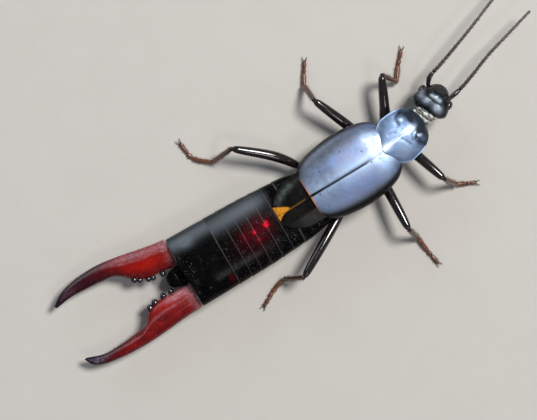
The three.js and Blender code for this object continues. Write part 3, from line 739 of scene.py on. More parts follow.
# Pale skin, with painted shade: dark brown patches, and near black in its folds
def neck_look():
    look = Look("neck", roughness=0.45, specular=0.4)
    base = look.mix(look.patches(0.22, 4, 0.35, 0.65), (0.42, 0.42, 0.38), (0.80, 0.84, 0.81))
    # Painted shade: dark brown patches over the pale skin
    shade = look.range(look.noise(0.3, 3, stretch=(1.0, 1.6, 1.0)), 0.42, 0.6)
    base = look.mix(look.times(shade, 0.85), base, (0.06, 0.038, 0.026))
    look.colour(look.mix(look.mark("fold"), base, (0.022, 0.014, 0.011)))
    look.raise_by(look.noise(0.1, 4, stretch=(0.5, 2.0, 1.0)), 0.03)
    return look.material


# Fine facets
def eye_look():
    look = Look("eye", roughness=0.12, specular=0.6, coat=0.5)
    facets = look.cells(0.045, randomness=0.35)
    look.colour(look.mix(look.range(facets, 0.2, 0.6), (0.012, 0.011, 0.013), (0.004, 0.004, 0.005)))
    look.raise_by(look.range(facets, 0.0, 0.6, 1.0, 0.0), 0.008)
    return look.material


def membrane_look():
    look = Look("membrane", roughness=0.45, specular=0.4)
    look.colour(look.mix(look.patches(0.3, 4), (0.035, 0.014, 0.010), (0.10, 0.045, 0.028)))
    look.raise_by(look.noise(0.12, 4, stretch=(1.0, 3.0, 1.0)), 0.03)
    return look.material


def hair_look():
    look = Look("hair", roughness=0.4, specular=0.4)
    look.colour(look.mix(look.patches(0.3, 3), (0.10, 0.05, 0.03), (0.24, 0.14, 0.09)))
    look.raise_by(look.noise(0.05, 2), 0.002)
    return look.material


def floor_look():
    look = Look("floor", roughness=0.7, specular=0.3)
    look.colour(look.mix(look.noise(4.0, 4), (0.50, 0.475, 0.44), (0.54, 0.515, 0.48)))
    look.raise_by(look.noise(0.8, 4), 0.02)
    return look.material


LOOKS = {
    "shell": shell_look(), "wing": wing_look(), "tip": tip_look(), "shield": shield_look(),
    "belly": belly_look(), "pincer": pincer_look(), "tooth": tooth_look(), "leg": leg_look(),
    "foot": foot_look(), "feeler": feeler_look(), "neck": neck_look(), "eye": eye_look(),
    "membrane": membrane_look(), "hair": hair_look(),
}


def between(t, low, high, a, b):
    return ((high - t) * a + (t - low) * b) / (high - low)


# A smooth course through points, with a side and an upward direction at each step
def course(points, steps):
    points = np.array(points, float)
    full = np.concatenate([[2 * points[0] - points[1]], points, [2 * points[-1] - points[-2]]])
    knots = np.concatenate([[0], np.cumsum(np.sqrt(np.linalg.norm(np.diff(full, axis=0), axis=1)))])
    fine = []
    for i in range(1, len(full) - 2):
        t = np.linspace(knots[i], knots[i + 1], 40, endpoint=False)[:, None]
        a = [between(t, knots[j], knots[j + 1], full[j], full[j + 1]) for j in (i - 1, i, i + 1)]
        b = [between(t, knots[j], knots[j + 2], a[j - i + 1], a[j - i + 2]) for j in (i - 1, i)]
        fine.append(between(t, knots[i], knots[i + 1], *b))
    fine = np.concatenate(fine + [full[-2:-1]])
    length = np.concatenate([[0], np.cumsum(np.linalg.norm(np.diff(fine, axis=0), axis=1))])
    at = np.linspace(0, length[-1], steps + 1)
    line = np.stack([np.interp(at, length, fine[:, k]) for k in range(3)], -1)
    ahead = unit_vector(np.gradient(line, axis=0))
    side = unit_vector(np.cross(ahead, (0, 0, 1)))
    return line, side, np.cross(side, ahead)


# The rings of a tube along a course, with a half width and a half height at each share of it
def tube_rings(points, steps, sides, half_width, half_height=None):
    line, side, up = course(points, steps)
    share = along(steps + 1)
    width = half_width(share)
    height = width if half_height is None else half_height(share)
    x, z = oval(around(sides), width, height)
    return line[:, None] + side[:, None] * x[..., None] + up[:, None] * z[..., None]


# A Catmull-Rom line through values at even knots
def smooth_line(share, values):
    count = len(values)
    full = np.concatenate([[2 * values[0] - values[1]], values, [2 * values[-1] - values[-2]]])
    place = share * (count - 1)
    i = np.clip(place.astype(int), 0, count - 2)
    t = (place - i)[:, None]
    a, b, c, d = (full[i + k] for k in range(4))
    terms = (2 * b, c - a, 2 * a - 5 * b + 4 * c - d, 3 * b - a - 3 * c + d)
    return 0.5 * sum(term * t ** k for k, term in enumerate(terms))


# Wing covers: a smooth vault from the middle line out, rolled under at the side
def wing_covers():
    share = along(240)
    angle = np.linspace(0.0, WINGS["wrap"], 130)[None]
    under = angle > math.pi / 2
    y = eased(share, -WINGS["length"], 0.0)
    half = smooth(y, WINGS["half_width"])
    gap = smooth(y, WINGS["suture_gap"])
    bulge = 2 / WINGS["squareness"]
    across = power(np.sin(angle), bulge)
    across = np.where(under, 1 - (1 - across) * 0.7, across)
    drop = np.where(under, 1 + 0.55 * power(-np.cos(angle), bulge), 1 - power(np.cos(angle), bulge))
    ends = 0.16 * (1 - step(share, 0.0, 0.05)) + 0.10 * (1 - step(1 - share, 0.0, 0.03))
    for name, side in SIDES:
        inner = side * smooth(y, WINGS["suture"]) + gap
        x = inner + (half - inner) * across
        reach = x / half
        # The seam: a groove along the suture, painted dark as shade in the gap between the covers
        seam = bump((x - inner) / (0.012 + 0.7 * gap)) * step(y, -5.7, -4.9)
        z = smooth(y, WINGS["top"]) - WINGS["depth"] * drop - ends - 0.03 * seam
        # Painted shade: greyer towards the outer side, and black along the outer edge where the cover turns
        # down, wider on the right cover
        if side > 0:
            side_shade = step(reach, 0.42, 0.80) * smooth(y, [(-7.5, 0.1), (-5.6, 0.5), (-4, 0.95), (0, 1)])
            dark = 0.85 * step(reach, 0.86, 0.98)
            inner_pale = 0.36
        else:
            side_shade = step(reach, 0.60, 0.82) * smooth(y, [(-7.5, 0.3), (-5, 0.9), (0, 1)])
            dark = step(reach, 0.71, 0.88)
            inner_pale = 0.24
        tan = bump((y + 0.04) / 0.10) * (0.6 + 0.4 * bump(x / 0.7)) * (1 - 0.8 * step(reach, 0.9, 1.0))
        # Painted highlights: pale blue-white in front, beside the seam and over the rear, where the covers
        # catch the light
        front = stroke(x, y, [(0.15, -7.4), (0.35, -6.2), (0.2, -4.6)], 0.34)
        pale = 0.36 * front * smooth(y, [(-7.5, 1), (-6, 0.8), (-3.5, 0)])
        pale = pale + 0.42 * stroke(x, y, [(0.9, -6.9), (1.7, -6.2)], 0.7)
        pale = pale + inner_pale * (1 - step(x, 0.35, 1.15)) * step(y, -6.6, -5)
        pale = pale + 0.26 * step(y, -3.4, -1.0) * (1 - step(reach, 0.65, 0.88))
        pale = pale + 0.26 * bump((x - 0.22) / 0.2) * step(-y, 0.4, 1.2)
        pale = pale + 0.10 * bump((x - 0.9) / 0.7) * step(-y, 1, 4)
        shape = Shape()
        shape.sheet(on_wings(grid_of(side * x, y, z)), WINGS["plate"], (0.4, -6.5, 2.0),
                    dark=unit(dark + seam), tan=tan, side=side_shade, pale=unit(pale))
        finish_piece(shape, f"tegmen_{name}", "wing", "wing_cover", f"wing_cover_{name}")


# Wing tips: low plates under the rear of the wing covers, amber at the seam and at the inner rear corner
def wing_tips():
    y = eased(along(130), TIP["front"], TIP["length"])
    t = np.linspace(0, 1, 110)[None]
    x = TIP["seam"] + (smooth(y, TIP["outer"]) - TIP["seam"]) * np.sin(t * math.pi / 2) ** 0.9
    across = x / smooth(0.0, TIP["outer"])
    z = smooth(y, TIP["top"]) - 0.26 * across ** 2.2 + 0.05 * bump((x - 0.9) / 0.5)
    z = z - 0.10 * step(t, 0.93, 1.0) - 0.08 * step(y, 2.6, 2.9) - 0.05 * bump(x / 0.05)
    # Painted sheen: a grey-green reflection along the left tip's outer side, only a trace on the right tip
    left_sheen = strokes(x, y, (1.0, [(1.55, 0.9), (1.40, 1.45), (1.1, 2.0), (0.92, 2.35)], 0.24),
                         (0.35, [(1.7, -0.2), (1.5, 1.0)], 0.2))
    right_sheen = 0.05 * bump((x - smooth(y, TIP["outer"]) * 0.75) / 0.2)
    for name, side in SIDES:
        sheen = unit(left_sheen) if side > 0 else right_sheen
        corner = step(smooth(y, TIP["corner"][name]) - x, -0.05, 0.07) * step(y, 1.65, 1.95)
        tan = unit(corner + 0.6 * bump(x / 0.03) * step(y, 0.25, 0.5))
        shape = Shape()
        shape.sheet(on_wings(grid_of(side * x, y, z)), TIP["plate"], (0.4, -2, 1.0), sheen=sheen, tan=tan)
        finish_piece(shape, f"squama_{name}", "tip", "wing_tip", f"wing_tip_{name}")


# The shield: a thin rim, two low swellings in front and a groove along the middle
def shield_piece():
    share = along(240)
    y = eased(share, SHIELD["front"], SHIELD["rear"])
    across = np.sin(np.linspace(-1, 1, 240)[None] * math.pi / 2)
    x = smooth(y, SHIELD["half_width"]) * across
    away = np.abs(across)
    middle = smooth(y, [(-1.4, -0.16), (0.24, 0.03), (1.54, 0.06)])
    groove = smooth(y, [(-1.2, 0), (-0.6, 1), (0.9, 0.6), (1.5, 0)])
    rim = unit(bump((1 - away) / 0.04) + bump((SHIELD["rear"] - y) / 0.07))
    z = smooth(y, SHIELD["top"]) - 0.34 * away ** 2.6
    z = z + 0.085 * spot(x, y, (1.05, -0.72), (0.40, 0.42)) + 0.095 * spot(x, y, (-0.88, -1.08), (0.40, 0.42))
    z = z - strokes(
        x, y,
        (0.030, [(1.55, -0.9), (1.42, -0.35), (0.9, -0.15)], 0.2),
        (0.030, [(-0.42, -1.3), (-0.45, -0.8), (-0.85, -0.5), (-1.4, -0.7)], 0.2),
        (0.010, [(0.72, 0.85), (0.58, 0.4)], 0.12),
        (0.010, [(-0.08, 0.28), (-0.45, 0.12), (-0.9, -0.05)], 0.16),
    )
    z = z - 0.02 * bump((x - middle - 0.02) / 0.06) * groove + 0.04 * rim
    z = z - 0.20 * step(away, 0.985, 1.0) - 0.15 * step(share, 0.98, 1) - 0.15 * step(1 - share, 0.98, 1)
    # Painted highlights: a pale streak along the middle, the rear left rim and a highlight on each swelling
    streak_width = smooth(y, [(-1.5, 0.26), (-0.5, 0.22), (0.2, 0.08), (0.8, 0.11), (1.6, 0.28)])
    pale = 0.9 * bump((x - middle - 0.05) / streak_width) * step(y, -1.65, -1.2)
    pale = pale + 0.4 * stroke(x, y, [(1.85, 0.95), (1.24, 1.58), (0.3, 1.9)], 0.14)
    pale = pale + 0.16 * spot(x, y, (-1.1, 0.6), (0.7, 0.9))
    pale = pale + 0.8 * spot(x, y, (1.1, -0.6), (0.12, 0.14)) + 0.8 * spot(x, y, (-0.86, -1.14), (0.12, 0.18))
    # Painted shade: dark over the steep front, where it turns from the light, and along the impressions
    dark = step(-y, 0.95, 1.55) * (1 - 0.3 * spot(x, y, (0.2, -1.35), (0.5, 0.3)))
    dark = dark * (1 - 0.5 * step(x, 0.9, 1.5))
    dark = dark + strokes(
        x, y,
        (0.75, [(1.5, -1.05), (0.95, -1.25), (0.5, -1.2)], 0.24),
        (0.6, [(1.5, -0.95), (1.44, -0.5)], 0.12),
        (0.9, [(-0.62, -1.5), (-0.55, -1.1), (-0.8, -0.75), (-1.3, -0.78), (-1.65, -1.0)], 0.26),
        (0.4, [(0.72, 0.85), (0.6, 0.5)], 0.07),
        (0.45, [(-0.05, 0.25), (-0.3, 0.2), (-0.5, 0.05), (-0.95, -0.1)], 0.11),
    )
    dark = unit(dark - 0.8 * spot(x, y, (-0.86, -1.14), (0.13, 0.2)))
    shape = Shape()
    shape.sheet(on_shield(grid_of(x, y, z)), SHIELD["plate"], (0.9, -11.8, 1.0), dark=dark, pale=unit(pale),
                rim=0.5 * rim * step(y, -1.4, 0.2) * step(x, -1.9, 0.4))
    finish_piece(shape, "shield_plate", "shield", "shield", "pronotum")


# The thorax under the shield and the wing covers
def thorax_pieces():
    share = along(60)
    angle = around(64)
    below = np.cos(angle) < 0
    pinch = bump((share - 0.97) / 0.04) + bump((share - 0.03) / 0.04)
    swell = 1 + 0.03 * np.sin(share * math.pi) - 0.05 * pinch
    for name, (front, rear) in THORAX["lengths"].items():
        y = front + (rear - front) * share
        top = smooth(y, THORAX["top"])
        bottom = smooth(y, THORAX["bottom"])
        half_width = smooth(y, THORAX["half_width"]) * swell
        x, z = oval(angle, half_width, (top - bottom) / 2 * swell, THORAX["squareness"])
        z = z + 0.05 * bump(x / 0.12) * below
        shape = Shape()
        shape.tube(grid_of(smooth(y, THORAX["centre"]) + x, y, (top + bottom) / 2 + z), brown=0.12 * below)
        finish_piece(shape, f"{name}_shell", "leg", "leg", name)


# A point on the abdomen's surface
def abdomen_point(y, angle, scale):
    top = smooth(y, ABDOMEN["top"])
    bottom = smooth(y, ABDOMEN["bottom"])
    half_width = smooth(y, ABDOMEN["half_width"]) * scale
    x, z = oval(angle, half_width, (top - bottom) / 2 * scale, ABDOMEN["squareness"])
    return grid_of(x, y, (top + bottom) / 2 + z)


# The painted glow of light shining dark red through the middle rings, in the body's own frame: strength,
# centre and widths
GLOW_SPOTS = [
    (1.0, (0.2, 0.8), (0.26, 0.24)),
    (0.70, (0.12, 1.92), (0.20, 0.20)),
    (0.32, (-0.55, 1.86), (0.22, 0.22)),
    (0.25, (0.17, 2.76), (0.4, 0.35)),
    (0.30, (0.2, 1.2), (1.15, 1.15)),
    (0.20, (-0.3, 2.6), (1.5, 1.5)),
    (0.30, (-2.14, 5.11), (0.45, 0.3)),
]


def red_glow(x, y):
    return unit(sum(strength * spot(x, y, centre, widths) for strength, centre, widths in GLOW_SPOTS))


# The seven front rings, each an upper and a lower plate over a soft membrane
def abdomen_pieces():
    edges = [ABDOMEN["front"], *ABDOMEN["rings"]]
    groups = {
        "front_rings": (0, 3, "abdomen_front"),
        "middle_rings": (3, 5, "abdomen_mid"),
        "rear_rings": (5, 7, "abdomen_rear"),
    }
    upper = np.radians(np.linspace(-112, 112, 200))[None]
    lower = np.radians(np.linspace(104, 256, 120))[None]
    share = along(60)
    rise = smooth(share, [(0, 0.976), (0.2, 0.990), (0.7, 0.998), (0.97, 1.0), (1, 0.994)])
    rear_edge = bump((share - 0.98) / 0.018)
    pits = step(share, 0.2, 0.45) * (1 - step(share, 0.84, 0.94))
    coat = Hairs()
    for piece_name, (first, last, node) in groups.items():
        shape = Shape()
        for i in range(first, last):
            front = edges[i] - (ABDOMEN["overlap"] if i else 0.0)
            y = front + (edges[i + 1] - front) * share
            inside = (0, y.mean(), ABDOMEN["middle_height"])
            grid = abdomen_point(y, upper, rise)
            x = grid[..., 0]
            grid[..., 2] += 0.07 * sum(spot(np.abs(x), y, fold, (0.12, 0.16)) for fold in FOLDS)
            edge = 0.62 * rear_edge * (0.6 + 0.4 * bump((x - 0.9) / 1.4))
            # Painted sheen: a grey reflection along the left flank, strongest on the front rings
            sheen = smooth(y, [(-0.6, 0), (1.2, 1), (2.4, 0.95), (4.6, 0.72)])
            sheen = sheen * bump((x - 2.08) / 0.6) * (x > 0)
            rough = step(share, 0.15, 0.4) * (0.25 + 0.75 * step(-x, -0.2, 1.2))
            rough = rough * (1 - 0.6 * step(-x, 2.2, 2.7))
            shape.sheet(grid, ABDOMEN["plate"], inside,
                        glow=red_glow(x, y), pits=pits, edge=edge, sheen=sheen, rough=rough)
            coat.grow(grid, 22, 0.12, lean=3.0, centre=inside, band=(i / 8, (i + 1) / 8), rows=(0.85, 0.96))
            shape.sheet(abdomen_point(y, lower, rise - 0.012), ABDOMEN["plate"], inside,
                        brown=0.35, pits=0.6 * pits, edge=0.35 * rear_edge)
        finish_piece(shape, piece_name, "belly", "belly", node)
    y = np.linspace(ABDOMEN["front"] + 0.05, ABDOMEN["end"] - 0.1, 120)[:, None]
    shape = Shape()
    shape.tube(abdomen_point(y, around(96), 0.94 + 0.008 * np.sin(y * 14)))
    finish_piece(shape, "side_membrane", "membrane", "belly")
    finish_piece(coat, "ring_hairs", "hair", "belly")


# The long last ring, with swellings over the pincers' roots and its closed rear wall
def last_ring():
    end = ABDOMEN["end"]
    front = ABDOMEN["rings"][-1] - ABDOMEN["overlap"]
    share = along(200)
    y = front + (end - front) * share
    angle = around(320)
    rise = smooth(share, [(0, 0.968), (0.10, 0.99), (0.5, 1.0), (0.96, 1.0), (1, 0.985)])
    grid = abdomen_point(y, angle, rise)
    x = grid[..., 0]
    upper = np.cos(angle) > 0
    above = unit(np.cos(angle)) ** 0.5
    over = 0.15 * spot(np.abs(x), y, (2.15, 7.0), (0.62, 0.62))
    line = 0.035 * bump(x / 0.12) * step(y, 4.9, 5.4) * (1 - step(y, 7.3, 7.9))
    hollow = 0.06 * spot(np.abs(x), y, (1.3, 7.75), (0.55, 0.35))
    points = sum(0.035 * spot(x, y, point, (0.06, 0.06)) for point in POINTS)
    grid[..., 2] += above * (over - line - hollow + points)
    rear_line = 0.05 * np.cos(x * 2.6) - 0.03 + 0.24 * bump((x - 0.75) / 0.75)
    grid[..., 1] += above * step(y, 7.6, end) * rear_line
    pits = unit(0.25 + 0.5 * step(y, 6.8, 7.6))
    edge = 0.5 * bump((share - 0.015) / 0.01)
    # Painted sheen: a grey reflection on the upper left flank and over the left pincer's root
    sheen = upper * (x > 0) * (0.8 * bump((x - 2.35) / 0.5) + 0.7 * spot(x, y, (2.1, 7.0), (0.4, 0.5)))
    brown = 0.35 * step(-np.cos(angle), 0.05, 0.35) * (1 - step(y, 6.6, 7.8))
    shape = Shape()
    shape.tube(grid, glow=red_glow(x, y) * upper, pits=pits, edge=edge, sheen=unit(sheen), brown=brown)
    finish_piece(shape, "last_ring", "belly", "belly", "last_tergite")


# The ridged plate between the pincers
def pygidium_piece():
    share = along(40)
    angle = around(64)
    taper = np.sqrt(unit(1 - (share * 0.97) ** 4)) * (1 - 0.14 * share)
    x, z = oval(angle, 0.84 * taper, 0.68 * taper, 3.6)
    ridges = 0.03 * np.cos(share * 22) * unit(np.cos(angle))
    shape = Shape()
    shape.tube(grid_of(-0.04 + x, 8.0 + 1.66 * share, 1.62 + z + ridges), pits=0.4, rough=0.3)
    finish_piece(shape, "pygidium_plate", "belly", "belly", "pygidium")


# Pincers: a keeled blade between two edges, with rounded black teeth inside and wrinkles at the root
def pincer_pieces():
    steps = 420
    share = along(steps + 1)
    angle = around(96)
    across, _ = oval(angle, 1.0, 1.0, 2.2)
    inward = unit(-across)
    above = np.cos(angle) > 0
    up = np.where(above, power(np.cos(angle), 1.15), power(np.cos(angle), 0.85))
    root = 1 - step(share, 0.0, 0.08)
    wrinkles = 0.045 * root * np.sin(share * 520 + 2.5 * np.sin(across * 4)) * np.cos(across * 9) ** 2
    for name, side in SIDES:
        left = side > 0
        keel = PINCERS[name]["keel"]
        edges = (np.array(PINCERS[name][edge]) for edge in ("outer", "inner"))
        outer, inner = (smooth_line(share[:, 0], edge) for edge in edges)
        half = (outer - inner)[:, None] / 2 * (1 + 0.03 * root[..., None])
        flat = (outer + inner)[:, None] / 2 + half * across[..., None]
        ridge = 0.10 * bump((across - keel) / 0.22) * above
        height = (up + ridge) * smooth(share, PINCERS["half_height"])
        z = smooth(share, PINCERS["middle"]) + height + wrinkles * np.abs(np.cos(angle))
        grid = np.concatenate([flat, z[..., None]], -1)
        shadow = np.max([bump((share - at) / (radius / 9)) for at, radius, _ in TEETH[name]], axis=0)
        dark = unit(step(share, 0.86, 0.98) + 0.8 * shadow * inward ** 8)
        dusk_start, dusk_end = (0.32, 0.72) if left else (0.5, 0.92)
        dusk = unit(0.94 * step(share, dusk_start, dusk_end) + 0.45 * inward ** 3 * step(share, 0.3, 0.45)
                    + 0.5 * unit(across) ** 4 * step(share, 0.2, 0.5))
        bright = spot(share, across, (0.22, keel - 0.45), (0.17, 0.45)) * above
        # Painted highlight: a pale line along the crest and a band on the side that faces the light, outer on
        # the left pincer and inner on the right; the root's pink is its own colour
        crest = 0.6 * bump((across - keel) / 0.10) * (1 - step(share, 0.55, 0.9))
        if left:
            band = 0.6 * step(across, keel + 0.05, keel + 0.3) * (1 - 0.7 * step(share, 0.25, 0.6))
            root_pink, glints = 0.5, 0.25
        else:
            band = 0.9 * step(inward, 0.35, 0.55) * (1 - step(share, 0.16, 0.26))
            root_pink, glints = 0.9, 1.0
        flush = unit(root_pink * root + band + crest) * above
        # Painted glints: bluish-white spots near the tips, strongest on the right pincer
        frost = glints * spot(share, across, (0.88, 0.1), (0.08, 0.45)) * above
        shape = Shape()
        shape.tube(grid, dark=dark, dusk=dusk, bright=bright, flush=flush, frost=frost)
        finish_piece(shape, f"forceps_{name}", "pincer", "pincer", f"pincer_{name}")
        teeth = Shape()
        away = unit_vector(inner - outer)
        for at, radius, out in TEETH[name]:
            i = round(at * steps)
            centre = (*(inner[i] + away[i] * radius * out), smooth(at, PINCERS["middle"]) + TOOTH_UP)
            teeth.ball(centre, (radius * TOOTH_WIDTH, radius * TOOTH_WIDTH, radius), rows=24, sides=32)
        finish_piece(teeth, f"teeth_{name}", "tooth", "pincer")
        coat = Hairs()
        coat.grow(grid, 160, 0.18, lean=1.4, rows=(0.03, 0.85))
        finish_piece(coat, f"forceps_hairs_{name}", "hair", "pincer")


# The head: two lobes behind, a fine seam that forks towards the feelers, a notch for the neck
def head_shell():
    angle = around(240)
    y = eased(along(220), HEAD["front"], HEAD["back"])
    x, z = oval(angle, smooth(y, HEAD["half_width"]), smooth(y, HEAD["half_height"]), 2.3)
    above = unit(np.cos(angle))
    behind = smooth(y, [(-0.2, 0), (HEAD["back"], 1)])
    lobes = 0.09 * spot(np.abs(x), y, (0.62, 0.62), (0.46, 0.46))
    frons = 0.07 * spot(x, y, (0, -0.2), (0.55, 0.4))
    line = 0.05 * bump(x / 0.09) * behind
    ahead = 0.25 - y
    fork = 0.03 * bump((np.abs(x) - 0.9 * ahead) / 0.10) * step(ahead, 0.0, 0.15) * step(y, -0.75, -0.5)
    socket = 0.07 * spot(np.abs(x), y, (0.92, -0.62), (0.2, 0.2))
    dent = 0.30 * bump((x - 0.12) / 0.66) * behind ** 2
    # Painted highlights: blue-white patches on the two rear lobes, a band across the middle and a streak on
    # the left side
    bloom = spot(x, y, (0.30, 0.80), (0.34, 0.26)) + 1.25 * spot(x, y, (-0.66, 0.80), (0.36, 0.30))
    bloom = bloom + strokes(x, y, (0.9, [(0.2, 0.16), (-0.1, 0.12), (-0.5, 0.14)], 0.17),
                            (0.35, [(1.1, 0.2), (0.95, 0.6)], 0.25))
    dark = 0.7 * step(-y, 0.45, 0.9)
    dark = dark + strokes(x, y, (0.8, [(0.5, 0.4), (0.1, 0.5), (-0.35, 0.55), (-0.8, 0.4)], 0.09),
                          (0.6, [(0.05, 1.0), (0.08, 0.3), (0.6, 0.25), (0.9, -0.1)], 0.08))
    shape = Shape()
    shape.tube(on_head(grid_of(x, y - dent, z + above * (lobes + frons - line - fork - socket))),
               bloom=unit(bloom) * above, dark=unit(dark) * above)
    brow = along(40)
    taper = 1 - 0.4 * brow ** 2 - 0.25 * step(brow, 0.9, 1)
    x, z = oval(around(60), 0.46 * taper, 0.17 * taper, 2.6)
    shape.tube(on_head(grid_of(x, -1.12 - 0.34 * brow, -0.2 - 0.62 * brow + z)), dark=0.6)
    finish_piece(shape, "head_shell", "shell", "shell", "head")


def eye_pieces():
    x, y, z = EYE["at"]
    for name, side in SIDES:
        shape = Shape()
        shape.ball(on_head((side * x, y, z)), EYE["radii"], rows=48, sides=64, matrix=HEAD_TURN)
        finish_piece(shape, f"eyeball_{name}", "eye", "eye", f"eye_{name}")


def jaw_piece():
    shape = Shape()
    for _, side in SIDES:
        points = [
            (side * 0.6, -0.8, -0.45), (side * 0.6, -1.1, -0.62),
            (side * 0.42, -1.42, -0.82), (side * 0.08, -1.52, -0.88),
        ]
        shape.tube(tube_rings(on_head(points), 40, 24,
                              lambda s: 0.24 * (1 - 0.75 * s ** 1.6), lambda s: 0.17 * (1 - 0.6 * s ** 1.6)))
    finish_piece(shape, "jaws", "shell", "shell", "mandibles")


# Bead-like segments, one after another along a course that is cut at a few shares
def segmented(shape, points, cuts, radius, sides=20, hairs=None, **marks):
    steps = 400
    knots = np.linspace(0, 1, steps + 1)
    share = np.linspace(0, 1, 16)
    swell = smooth(share, [(0, 0.62), (0.15, 0.82), (0.6, 1.0), (0.9, 0.98), (1, 0.66)])
    angle = around(sides)
    lines = course(points, steps)
    for low, high in zip(cuts[:-1], cuts[1:]):
        at = low + (high - low) * share
        middle, side, up = (np.stack([np.interp(at, knots, v[:, k]) for k in range(3)], -1) for v in lines)
        size = (radius(at) * swell)[:, None]
        across = side[:, None] * (size * np.sin(angle))[..., None]
        grid = middle[:, None] + across + up[:, None] * (size * np.cos(angle))[..., None]
        shape.tube(grid, **{key: value(at)[:, None] for key, value in marks.items()})
        if hairs:
            coat, per_mm, length = hairs
            coat.grow(grid, int(np.linalg.norm(middle[-1] - middle[0]) * per_mm), length, band=(low, high))


def feeler_pieces():
    x, y, z = FEELER["root"]
    cuts = [0.0, 0.03, 0.15, 0.175]
    while cuts[-1] < 0.999:
        cuts.append(min(1.0, cuts[-1] + 0.030 + 0.017 * cuts[-1]))
    for name, side in SIDES:
        points = [on_head((side * x * 0.92, y + 0.2, z)), on_head((side * x, y, z)), *FEELER[name]]
        shape = Shape()
        coat = Hairs()
        segmented(shape, points, cuts, lambda s: smooth(s, FEELER["radius"]),
                  hairs=(coat, 45, 0.13), dark=lambda s: 1 - step(s, 0.14, 0.2))
        finish_piece(shape, f"feeler_{name}", "feeler", "feeler", f"antenna_{name}")
        finish_piece(coat, f"feeler_hairs_{name}", "hair", "feeler")
        palp_piece(name, side)


# A long outer and a short inner palp on each side of the mouth
def palp_piece(name, side):
    shape = Shape()
    outer = [
        (side * 0.5, -0.85, -0.35), (side * 0.92, -1.15, -0.86),
        (side * 0.82, -1.42, -1.2), (side * 0.5, -1.55, -1.38),
    ]
    segmented(shape, on_head(outer), [0, 0.15, 0.32, 0.55, 0.78, 1.0],
              lambda s: 0.15 - 0.04 * s, dark=lambda s: np.full_like(s, 0.2))
    inner = [(side * 0.2, -0.85, -0.6), (side * 0.3, -1.15, -1.0), (side * 0.24, -1.3, -1.25)]
    segmented(shape, on_head(inner), [0, 0.35, 0.65, 1.0],
              lambda s: 0.11 - 0.03 * s, dark=lambda s: np.full_like(s, 0.2))
    finish_piece(shape, f"palps_{name}", "feeler", "feeler", f"palp_{name}")


# Pale skin of the neck, with folds around it
def neck_piece():
    share = along(110)
    angle = around(110)
    waves = np.cos(share * TURN * 4.5 + 1.1 * np.sin(angle * 2 + 1) + 0.6 * np.sin(angle * 5 + share * 6))
    swell = 1 + 0.035 * waves - 0.02 * np.cos(angle * 7)
    x, z = oval(angle, NECK["half_width"] * swell, NECK["half_height"] * swell)
    start = np.array(NECK["start"])
    line = start + (np.array(NECK["stop"]) - start) * share
    # Painted shade in the troughs of the folds and in one hollow near the head end
    fold = unit(step(-waves, 0.35, 0.95) * 0.85 + 0.9 * spot(x, share, (0.5, 0.86), (0.16, 0.06)))
    slant = x * math.tan(HEAD["turn"]) * share
    shape = Shape()
    shape.tube(grid_of(line[:, :1] + x, line[:, 1:2] + slant, line[:, 2:] + z), fold=fold)
    finish_piece(shape, "neck_skin", "neck", "neck", "neck")


# Legs: thigh, shin and a three-part foot with two curved claws
def leg_pieces():
    shin_width = [(0, 0.1), (0.06, 0.19), (0.2, 0.2), (0.6, 0.21), (0.92, 0.22), (1, 0.12)]
    foot_width = [(0, 0.17), (0.5, 0.165), (1, 0.13)]
    for name, leg in LEGS.items():
        root = np.array(leg["root"])
        knee = np.array([*leg["knee"], KNEE_HEIGHT])
        ankle = np.array([*leg["ankle"], ANKLE_HEIGHT])
        bend = (root + knee) / 2 + (*leg.get("bow", (0, 0)), 0.14)
        thick = leg["thigh"]
        width = [
            (0, 0.45), (0.16, 0.45), (0.22, thick - 0.07), (0.28, thick), (0.5, 0.40),
            (0.75, 0.365), (0.93, 0.30), (0.985, 0.2), (1, 0.06),
        ]
        shape = Shape()
        shape.tube(tube_rings([root, bend, knee], 160, 56,
                              lambda s: smooth(s, width), lambda s: 0.95 * smooth(s, width)))
        finish_piece(shape, f"thigh_{name}", "leg", "leg", f"femur_{name}")
        start = knee - unit_vector(ankle - knee) * 0.1
        shin_line = [start, (start + ankle) / 2 + (0, 0, 0.03), ankle]
        shin = tube_rings(shin_line, 80, 36, lambda s: smooth(s, shin_width))
        shape = Shape()
        shape.tube(shin, brown=0.1 + 0.8 * along(81))
        shin_coat = Hairs()
        shin_coat.grow(shin, 150, 0.2, band=(0.0, 0.5))
        finish_piece(shape, f"shin_{name}", "leg", "leg", f"tibia_{name}")
        middle, toe = (np.array([*p, FOOT_HEIGHT]) for p in leg["foot"])
        shape = Shape()
        foot_coat = Hairs()
        segmented(shape, [ankle, middle, toe], [0, 0.52, 0.68, 1.0], lambda s: smooth(s, foot_width),
                  hairs=(foot_coat, 90, 0.16), dark=lambda s: 0.2 * s)
        ahead = unit_vector(toe - middle)
        aside = np.cross(ahead, (0, 0, 1))
        for turn in (-1, 1):
            stops = [(-0.05, 0.03, 0), (0.16, 0.13, 0.03), (0.31, 0.19, -0.03), (0.38, 0.18, -0.12)]
            claw = [toe + ahead * far + aside * turn * out + (0, 0, up) for far, out, up in stops]
            shape.tube(tube_rings(claw, 24, 16, lambda s: 0.06 * (1 - 0.85 * s)), dark=0.9)
        for points in shape.points:
            points[:, 2] = np.maximum(points[:, 2], FLOOR_CLEAR)
        finish_piece(shape, f"foot_{name}", "foot", "foot", f"tarsus_{name}")
        finish_piece(shin_coat, f"shin_hairs_{name}", "hair", "leg")
        finish_piece(foot_coat, f"foot_hairs_{name}", "hair", "foot")


wing_covers()
wing_tips()
shield_piece()
thorax_pieces()
abdomen_pieces()
last_ring()
pygidium_piece()
pincer_pieces()
head_shell()
eye_pieces()
jaw_piece()
feeler_pieces()
neck_piece()
leg_pieces()

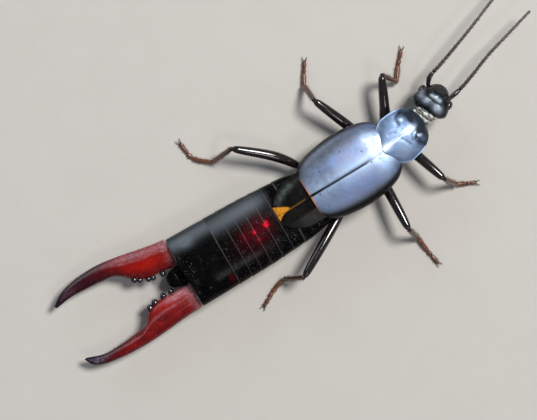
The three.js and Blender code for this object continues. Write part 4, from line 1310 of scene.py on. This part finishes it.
# Camera: nearly straight down, with the animal's front towards the upper right of the picture
PICTURE_PIXELS = 537
PIXELS_PER_MM = 12.8
DISTANCE = 170.0
TILT = math.radians(4)
HEADING = math.radians(30)
SENSOR = 36.0
TARGET = Vector((0.95 - ORIGIN[0], -ORIGIN[1], 2.0)) * MM
from_target = Vector((math.sin(TILT), math.sin(TILT), math.sqrt(1 - 2 * math.sin(TILT) ** 2)))
right = (-from_target).cross(Vector((math.cos(HEADING), -math.sin(HEADING), 0))).normalized()
upward = right.cross(-from_target)
camera_data = bpy.data.cameras.new("camera")
camera_data.sensor_width = SENSOR
camera_data.sensor_fit = "HORIZONTAL"
camera_data.lens = SENSOR * DISTANCE / (PICTURE_PIXELS / PIXELS_PER_MM)
camera_data.clip_start = 0.005
camera_data.clip_end = 20
camera = bpy.data.objects.new("camera", camera_data)
bpy.context.scene.collection.objects.link(camera)
pose = Matrix((right, upward, from_target)).transposed().to_4x4()
pose.translation = TARGET + from_target * DISTANCE * MM
camera.matrix_world = pose
bpy.context.scene.camera = camera


# Lights stand where the photograph's shadows put them, and are given by their direction in the picture
def area_light(name, towards, distance, size, power_w, colour):
    data = bpy.data.lights.new(name, "AREA")
    data.shape = "DISK"
    data.size = size
    data.energy = power_w
    data.color = colour
    light = bpy.data.objects.new(name, data)
    bpy.context.scene.collection.objects.link(light)
    side, ahead, height = towards
    direction = (right * side + upward * ahead + from_target * height).normalized()
    light.matrix_world = direction.to_track_quat("Z", "Y").to_matrix().to_4x4()
    light.location = TARGET + direction * distance


area_light("key", (0.50, 0.36, 1.0), 0.5, 0.16, 2.5, (1.0, 0.985, 0.96))
area_light("low", (0.45, -0.50, 1.0), 0.5, 0.10, 0.2, (1.0, 0.98, 0.96))
area_light("sky", (-0.75, 1.05, 0.55), 0.6, 0.4, 1.0, (0.78, 0.87, 1.0))

world = bpy.data.worlds.new("world")
world.use_nodes = True
background = world.node_tree.nodes["Background"]
background.inputs["Color"].default_value = (0.74, 0.8, 0.9, 1)
background.inputs["Strength"].default_value = 0.22
bpy.context.scene.world = world
bpy.context.scene.view_settings.view_transform = "Standard"

# A plain pale floor, just under the feet
FLOOR_REACH = 1.5
FLOOR_DROP = 0.00001
floor_mesh = bpy.data.meshes.new("floor")
corners = [(x * FLOOR_REACH, y * FLOOR_REACH, 0) for x, y in ((-1, -1), (1, -1), (1, 1), (-1, 1))]
floor_mesh.from_pydata(corners, [], [(0, 1, 2, 3)])
floor = bpy.data.objects.new("floor", floor_mesh)
floor.location.z = -FLOOR_DROP
floor.data.materials.append(floor_look())
bpy.context.scene.collection.objects.link(floor)
